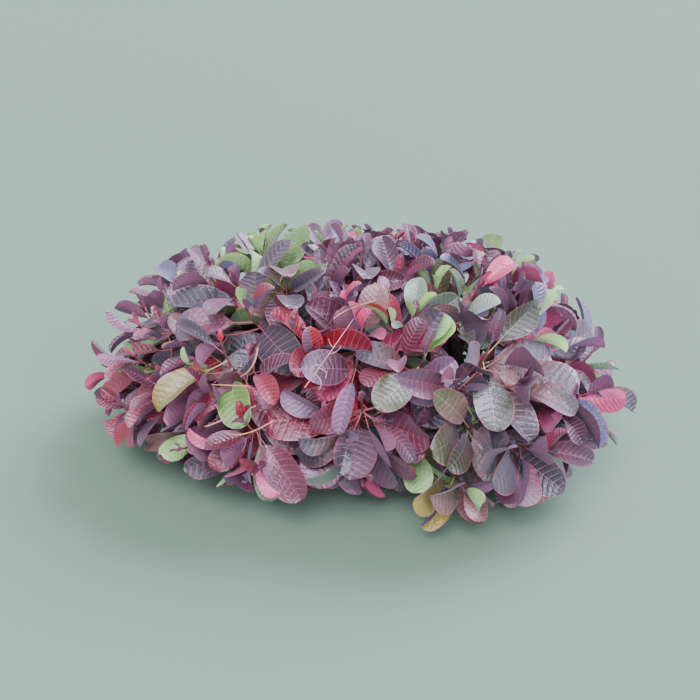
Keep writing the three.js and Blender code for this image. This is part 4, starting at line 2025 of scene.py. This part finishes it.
@dataclass
class SweptLines:
    """Lines that a sweep tree turns into limbs."""

    points: list[Vector] = field(default_factory=list)
    steps: list[tuple[int, int]] = field(default_factory=list)
    radii: list[float] = field(default_factory=list)
    tones: list[float] = field(default_factory=list)

    def add(self, places: list[Vector], radii: list[float], skin: Skin | StalkSkin) -> None:
        """Adds one line.

        Args:
            places: The points that it runs through.
            radii: Its radius at each.
            skin: The finish that it takes.
        """
        first = len(self.points)
        self.points += places
        self.steps += [(first + i, first + i + 1) for i in range(len(places) - 1)]
        self.radii += radii
        self.tones += [float(skin.value)] * len(places)

    def sweep(self, name: str, tree: bpy.types.NodeTree, sides: int) -> bpy.types.Mesh:
        """Runs the tree on the lines and gives the result as a plain mesh.

        Args:
            name: The mesh's name.
            tree: The sweep tree.
            sides: Sides of the round section.

        Returns:
            The mesh.
        """
        lines = bpy.data.meshes.new(name + "_lines")
        lines.from_pydata([tuple(point) for point in self.points], self.steps, [])
        for key, values in (("limb_radius", self.radii), ("tone", self.tones)):
            lines.attributes.new(key, "FLOAT", "POINT").data.foreach_set("value", values)
        holder = put_in_scene(name + "_lines", lines)
        modifier = holder.modifiers.new("Sweep", "NODES")
        modifier.node_group = tree
        wanted = {item.name: item.identifier for item in tree.interface.items_tree}
        modifier[wanted["Sides"]] = sides
        modifier[wanted["Thickness"]] = 1.0
        ready = holder.evaluated_get(bpy.context.evaluated_depsgraph_get())
        mesh = bpy.data.meshes.new_from_object(ready)
        mesh.name = name
        bpy.data.objects.remove(holder)
        bpy.data.meshes.remove(lines)
        return mesh


@dataclass(frozen=True)
class BareStick:
    """A thin bare stick among the leaves, told by the places on the crown that it runs through.

    Each place is a turn and a lift in degrees and a share of the way to the crown's surface.
    """

    mass: str
    places: tuple[tuple[float, float, float], ...]
    radii: tuple[float, float]
    skin: Skin = Skin.TAN_STICK


BARE_STICKS = (
    BareStick("front_left", ((244, 22, 0.84), (240, 17, 0.95), (238, 15, 0.98)), (0.0009, 0.0006)),
    BareStick("front_left", ((250, 18, 0.86), (246, 14, 0.94), (242, 14, 0.96)), (0.0008, 0.0005)),
    BareStick("front_left", ((239, 33, 0.9), (242, 38, 0.94), (240, 44, 0.93)), (0.0007, 0.0009)),
    BareStick("front_left", ((242, 30, 0.88), (239, 30, 0.95), (235, 29, 0.96)), (0.0007, 0.0005)),
    BareStick("upper_front", ((261, 57, 0.98), (268, 62, 0.96), (284, 66, 0.93)), (0.0005, 0.0008)),
    *(
        BareStick("front", places, radii, Skin.PALE_STICK)
        for places, radii in (
            (((257, 33, 0.93), (262, 45, 0.98), (268, 57, 0.98)), (0.0006, 0.0003)),
            (((260, 40, 0.96), (262, 39, 0.98), (262, 37, 0.98)), (0.0005, 0.0003)),
            (((259, 38, 0.95), (261, 36, 0.97), (261, 33, 0.97)), (0.0005, 0.0003)),
            (((260, 41, 0.96), (259, 41, 0.98), (258, 39, 0.98)), (0.0004, 0.0003)),
            (((262, 45, 0.97), (264, 46, 0.98), (265, 48, 0.98)), (0.0004, 0.0002)),
            (((263, 47, 0.97), (262, 48, 0.99), (261, 50, 0.98)), (0.0004, 0.0002)),
        )
    ),
)


@dataclass
class Twigs:
    """The stem, shoots and side twigs of one mass, and the stalks of its leaves."""

    mass: Mass
    crown: Crown
    tree: bpy.types.NodeTree
    stalk_tree: bpy.types.NodeTree
    stem_radii: tuple[float, float] = (0.0026, 0.0023)
    stem_overlap: float = 0.02
    stem_steps: int = 5
    shoot_steps: int = 12
    twig_steps: int = 10
    stick_steps: int = 8
    twig_sides: int = 7
    stalk_radii: tuple[float, ...] = (0.00125, 0.0007, 0.0007, 0.0007, 0.00078)
    stalk_sides: int = 5
    stalk_sag: float = 0.03
    stalk_overlap: float = 0.001
    thinnest_stalk: float = 0.35
    full_blade: float = 0.1

    def build(self) -> list[bpy.types.Object]:
        """Builds and dresses both pieces."""
        return [self.build_twigs(), self.build_stalks()]

    def build_twigs(self) -> bpy.types.Object:
        """Sweeps the woody part.

        Returns:
            The piece.
        """
        lines = SweptLines()
        mass = self.mass
        stem_start = mass.bough_end - self.stem_overlap
        runs = [(mass.bough, stem_start, self.stem_steps, self.stem_radii, Skin.SHOOT)]
        for shoots, steps, skin in (
            (mass.shoots, self.shoot_steps, Skin.SHOOT),
            (mass.twigs, self.twig_steps, Skin.TWIG),
        ):
            runs += [(s.line, 0.0, steps, (s.base_radius, s.tip_radius), skin) for s in shoots]
        for stick in BARE_STICKS:
            if stick.mass == mass.name:
                runs.append((self.stick_line(stick), 0.0, self.stick_steps, stick.radii, stick.skin))
        for line, first, steps, radii, skin in runs:
            lines.add(line.places(first, 1.0, steps), tapered(*radii, steps + 1), skin)
        name = f"twigs_{mass.name}"
        swept = lines.sweep(name, self.tree, self.twig_sides)
        return place_piece(swept, name, BARK_SLOT, f"foliage_{mass.name}")

    def stick_line(self, stick: BareStick) -> LimbLine:
        """Bows a bare stick through its middle place.

        Args:
            stick: The stick.

        Returns:
            Its line.
        """
        start, middle, end = (
            self.crown.point(math.radians(turn), math.radians(lift), share)
            for turn, lift, share in stick.places
        )
        return LimbLine(start, middle * 2.0 - (start + end) / 2.0, end)

    def build_stalks(self) -> bpy.types.Object:
        """Sweeps the leaf stalks, which are swollen where they leave the twig.

        Returns:
            The piece.
        """
        lines = SweptLines()
        for leaf in self.mass.leaves:
            size = min(1.0, self.thinnest_stalk + leaf.blade / self.full_blade)
            top = leaf.blade_base() + leaf.pointing * self.stalk_overlap
            middle = leaf.root.lerp(top, 0.5) - UP * (self.stalk_sag * leaf.stalk)
            places = LimbLine(leaf.root, middle, top).places(0.0, 1.0, len(self.stalk_radii) - 1)
            skin = StalkSkin.GREEN if leaf.tint in GREEN_TINTS else StalkSkin.RED
            lines.add(places, [radius * size for radius in self.stalk_radii], skin)
        name = f"stalks_{self.mass.name}"
        slot = f"leaves_{self.mass.name}"
        swept = lines.sweep(name, self.stalk_tree, self.stalk_sides)
        return place_piece(swept, name, slot, f"foliage_{self.mass.name}")


def tapered(base: float, tip: float, count: int) -> list[float]:
    """Lists radii that taper evenly from a base to a tip."""
    return [base + (tip - base) * i / (count - 1) for i in range(count)]


@dataclass
class BarkLimb:
    """A trunk or bough with the relief of its bark in its mesh."""

    name: str
    node: str
    line: LimbLine
    last: float
    radius_at: Callable[[float], float]
    finish: bpy.types.Material
    sides: int
    rings: int
    ridge: float = 0.09
    ridge_scale: float = 420.0
    ridge_stretch: float = 0.3
    knobs: float = 0.05
    knob_scale: float = 70.0

    def build(self) -> bpy.types.Object:
        """Builds and dresses the limb.

        Returns:
            The limb.
        """
        reference = reference_for(self.line.at(self.last) - self.line.at(0.0))
        points = []
        for r in range(self.rings + 1):
            share = r / self.rings
            t = self.last * share
            heading = self.line.heading(t)
            across = square_to(heading, reference)
            beside = across.cross(heading)
            middle = self.line.at(t)
            for s in range(self.sides):
                angle = 2.0 * math.pi * s / self.sides
                outward = across * math.cos(angle) + beside * math.sin(angle)
                radius = self.radius_at(share)
                place = middle + outward * radius
                points.append(middle + outward * (radius * self.relief(place, heading)))
        faces = [list(range(self.sides))]
        for r in range(self.rings):
            for s in range(self.sides):
                a, b = r * self.sides + s, r * self.sides + (s + 1) % self.sides
                faces.append([a, a + self.sides, b + self.sides, b])
        top = self.rings * self.sides
        faces.append([top + s for s in reversed(range(self.sides))])
        mesh = bpy.data.meshes.new(self.name)
        mesh.from_pydata([tuple(point) for point in points], [], faces)
        mesh.polygons.foreach_set("use_smooth", np.ones(len(faces), bool))
        mesh.materials.append(self.finish)
        mesh.update()
        return place_piece(mesh, self.name, BARK_SLOT, self.node)

    def relief(self, place: Vector, heading: Vector) -> float:
        """Gives the factor by which bark swells or cracks.

        Args:
            place: A place on the limb.
            heading: The limb's direction there.

        Returns:
            The factor.
        """
        along = place.dot(heading) * self.ridge_stretch
        drawn = (place - heading * (place.dot(heading) - along)) * self.ridge_scale
        cracks = 1.0 - abs(noise.noise(drawn)) * 2.0
        swell = noise.noise(place * self.knob_scale)
        return 1.0 + self.ridge * (cracks - 0.5) + self.knobs * swell


@dataclass
class Woodwork:
    """The trunk and the boughs."""

    growth: Growth
    bark: bpy.types.Material
    foot_radius: float = 0.011
    fork_radius: float = 0.0082
    flare: float = 0.006
    flare_height: float = 0.009
    rounding_start: float = 0.86
    rounding: float = 0.0032
    bough_radii: tuple[float, float] = (0.0035, 0.0026)
    collar: float = 0.0016
    collar_fall: float = 7.0
    trunk_faces: tuple[int, int] = (56, 80)
    bough_faces: tuple[int, int] = (20, 44)

    def trunk_radius(self, share: float) -> float:
        """Gives the trunk's radius.

        Args:
            share: The share of its height.

        Returns:
            The radius.
        """
        height = share * self.growth.trunk_height
        shaft = self.foot_radius + (self.fork_radius - self.foot_radius) * share
        flare = self.flare * math.exp(-height / self.flare_height)
        past = max(0.0, (share - self.rounding_start) / (1.0 - self.rounding_start))
        return shaft + flare - self.rounding * past**2

    def bough_radius(self, share: float) -> float:
        """Gives a bough's radius at a share of its length, with a collar at the trunk."""
        base, tip = self.bough_radii
        return base + (tip - base) * share + self.collar * math.exp(-share * self.collar_fall)

    def build(self) -> list[bpy.types.Object]:
        """Builds and dresses the trunk and every bough.

        Returns:
            The pieces.
        """
        line, radius_at = self.growth.trunk_line(), self.trunk_radius
        trunk = BarkLimb("bark_trunk", "trunk", line, 1.0, radius_at, self.bark, *self.trunk_faces)
        limbs = [trunk]
        for mass in self.growth.masses:
            names = (f"bark_bough_{mass.name}", f"bough_{mass.name}")
            line, radius_at = mass.bough, self.bough_radius
            limbs.append(BarkLimb(*names, line, mass.bough_end, radius_at, self.bark, *self.bough_faces))
        return [limb.build() for limb in limbs]


# The studio


@dataclass(frozen=True)
class SoftSun:
    """A soft light that falls evenly from one side; its spread is how wide it looks, in degrees."""

    name: str
    place: tuple[float, float, float]
    spread: float
    power: float
    colour: Colour


@dataclass
class Studio:
    """The plain pale floor, the soft lights and the camera."""

    target: tuple[float, float, float] = (-0.0089, 0.0, 0.1161)
    elevation: float = math.radians(29.0)
    distance: float = 1.25
    lens: float = 55.36
    sensor: float = 36.0
    floor_size: float = 200.0
    paper: PlainFinish = PlainFinish("floor_paper", from_screen(101, 121, 110), rough=0.9)
    sky_colour: Colour = (0.66, 0.83, 0.77)
    sky_strength: float = 1.1
    suns: tuple[SoftSun, ...] = (
        SoftSun("key", (-0.3, -1.5, 2.2), 32.0, 4.4, (0.98, 0.97, 1.0)),
        SoftSun("fill", (1.3, -2.0, 0.8), 60.0, 3.6, (0.92, 0.93, 1.0)),
        SoftSun("top", (1.5, 1.1, 2.1), 34.0, 6.8, (0.86, 0.88, 1.0)),
    )

    def build(self) -> None:
        """Builds the whole studio."""
        self.add_camera()
        self.add_floor()
        self.add_sky()
        for sun in self.suns:
            self.add_sun(sun)

    def add_camera(self) -> None:
        """Adds the camera at the photo's viewing angle."""
        camera = bpy.data.cameras.new("camera")
        camera.lens = self.lens
        camera.sensor_width = self.sensor
        holder = put_in_scene("camera", camera)
        back = Vector((0.0, -math.cos(self.elevation), math.sin(self.elevation)))
        holder.location = Vector(self.target) + back * self.distance
        holder.rotation_euler = (-back).to_track_quat("-Z", "Y").to_euler()
        bpy.context.scene.camera = holder

    def add_floor(self) -> None:
        """Adds the floor that the plant stands on."""
        half = self.floor_size / 2
        mesh = bpy.data.meshes.new("floor")
        corners = [(-half, -half, 0), (half, -half, 0), (half, half, 0), (-half, half, 0)]
        mesh.from_pydata(corners, [], [(0, 1, 2, 3)])
        mesh.materials.append(self.paper.material())
        floor = put_in_scene("floor", mesh)

    def add_sky(self) -> None:
        """Adds an even, soft light from all round."""
        world = bpy.data.worlds.new("soft_sky")
        world.use_nodes = True
        sky = world.node_tree.nodes["Background"]
        sky.inputs["Color"].default_value = (*self.sky_colour, 1.0)
        sky.inputs["Strength"].default_value = self.sky_strength
        bpy.context.scene.world = world

    def add_sun(self, sun: SoftSun) -> None:
        """Adds one of the lights.

        Args:
            sun: The light.
        """
        light = bpy.data.lights.new(sun.name, "SUN")
        light.angle = math.radians(sun.spread)
        light.energy = sun.power
        light.color = sun.colour
        holder = put_in_scene(sun.name, light)
        holder.location = sun.place
        toward_plant = Vector(self.target) - Vector(sun.place)
        holder.rotation_euler = toward_plant.to_track_quat("-Z", "Y").to_euler()


BARK = BarkFinish("bark", from_screen(104, 84, 72), from_screen(158, 136, 118))

TWIG_FINISHES = {
    Skin.SHOOT: BarkFinish(
        "shoot_skin",
        from_screen(92, 52, 54),
        from_screen(140, 88, 78),
        rough=(0.5, 0.7),
        grain=300.0,
        relief=0.3,
    ),
    Skin.TWIG: BarkFinish(
        "twig_skin",
        from_screen(124, 58, 70),
        from_screen(166, 98, 98),
        rough=(0.45, 0.65),
        grain=300.0,
        relief=0.2,
    ),
    Skin.PALE_STICK: PlainFinish("pale_stick", from_screen(198, 134, 150)),
    Skin.TAN_STICK: PlainFinish("tan_stick", from_screen(176, 124, 102)),
}
STALK_FINISHES = {
    StalkSkin.RED: PlainFinish("red_stalk", from_screen(160, 80, 98)),
    StalkSkin.GREEN: PlainFinish("green_stalk", from_screen(178, 164, 120)),
}


def main() -> None:
    """Builds the studio and the plant, in order, reports each piece and notes the sizes."""
    logging.basicConfig(level=logging.INFO, format="%(message)s")
    Studio().build()
    growth = Growth()
    growth.grow()
    LOG.info("leaves: %d", sum(len(mass.leaves) for mass in growth.masses))
    bark = BARK.material()
    twig_skins = tuple(finish.material() for finish in TWIG_FINISHES.values())
    stalk_skins = tuple(finish.material() for finish in STALK_FINISHES.values())
    pieces = Woodwork(growth, bark).build()
    tree = SweepTree("sweep_twigs", Twigs.twig_sides, twig_skins).tree()
    stalk_tree = SweepTree("sweep_stalks", Twigs.stalk_sides, stalk_skins).tree()
    finishes: dict[str, bpy.types.Material] = {}
    for mass in growth.masses:
        pieces.append(Foliage(mass, finishes).build())
        pieces += Twigs(mass, growth.crown, tree, stalk_tree).build()
    for piece in pieces:
        triangles = sum(len(face.vertices) - 2 for face in piece.data.polygons)
        LOG.info("piece %s: %d triangles", piece.name, triangles)


if __name__ == "__main__":
    main()
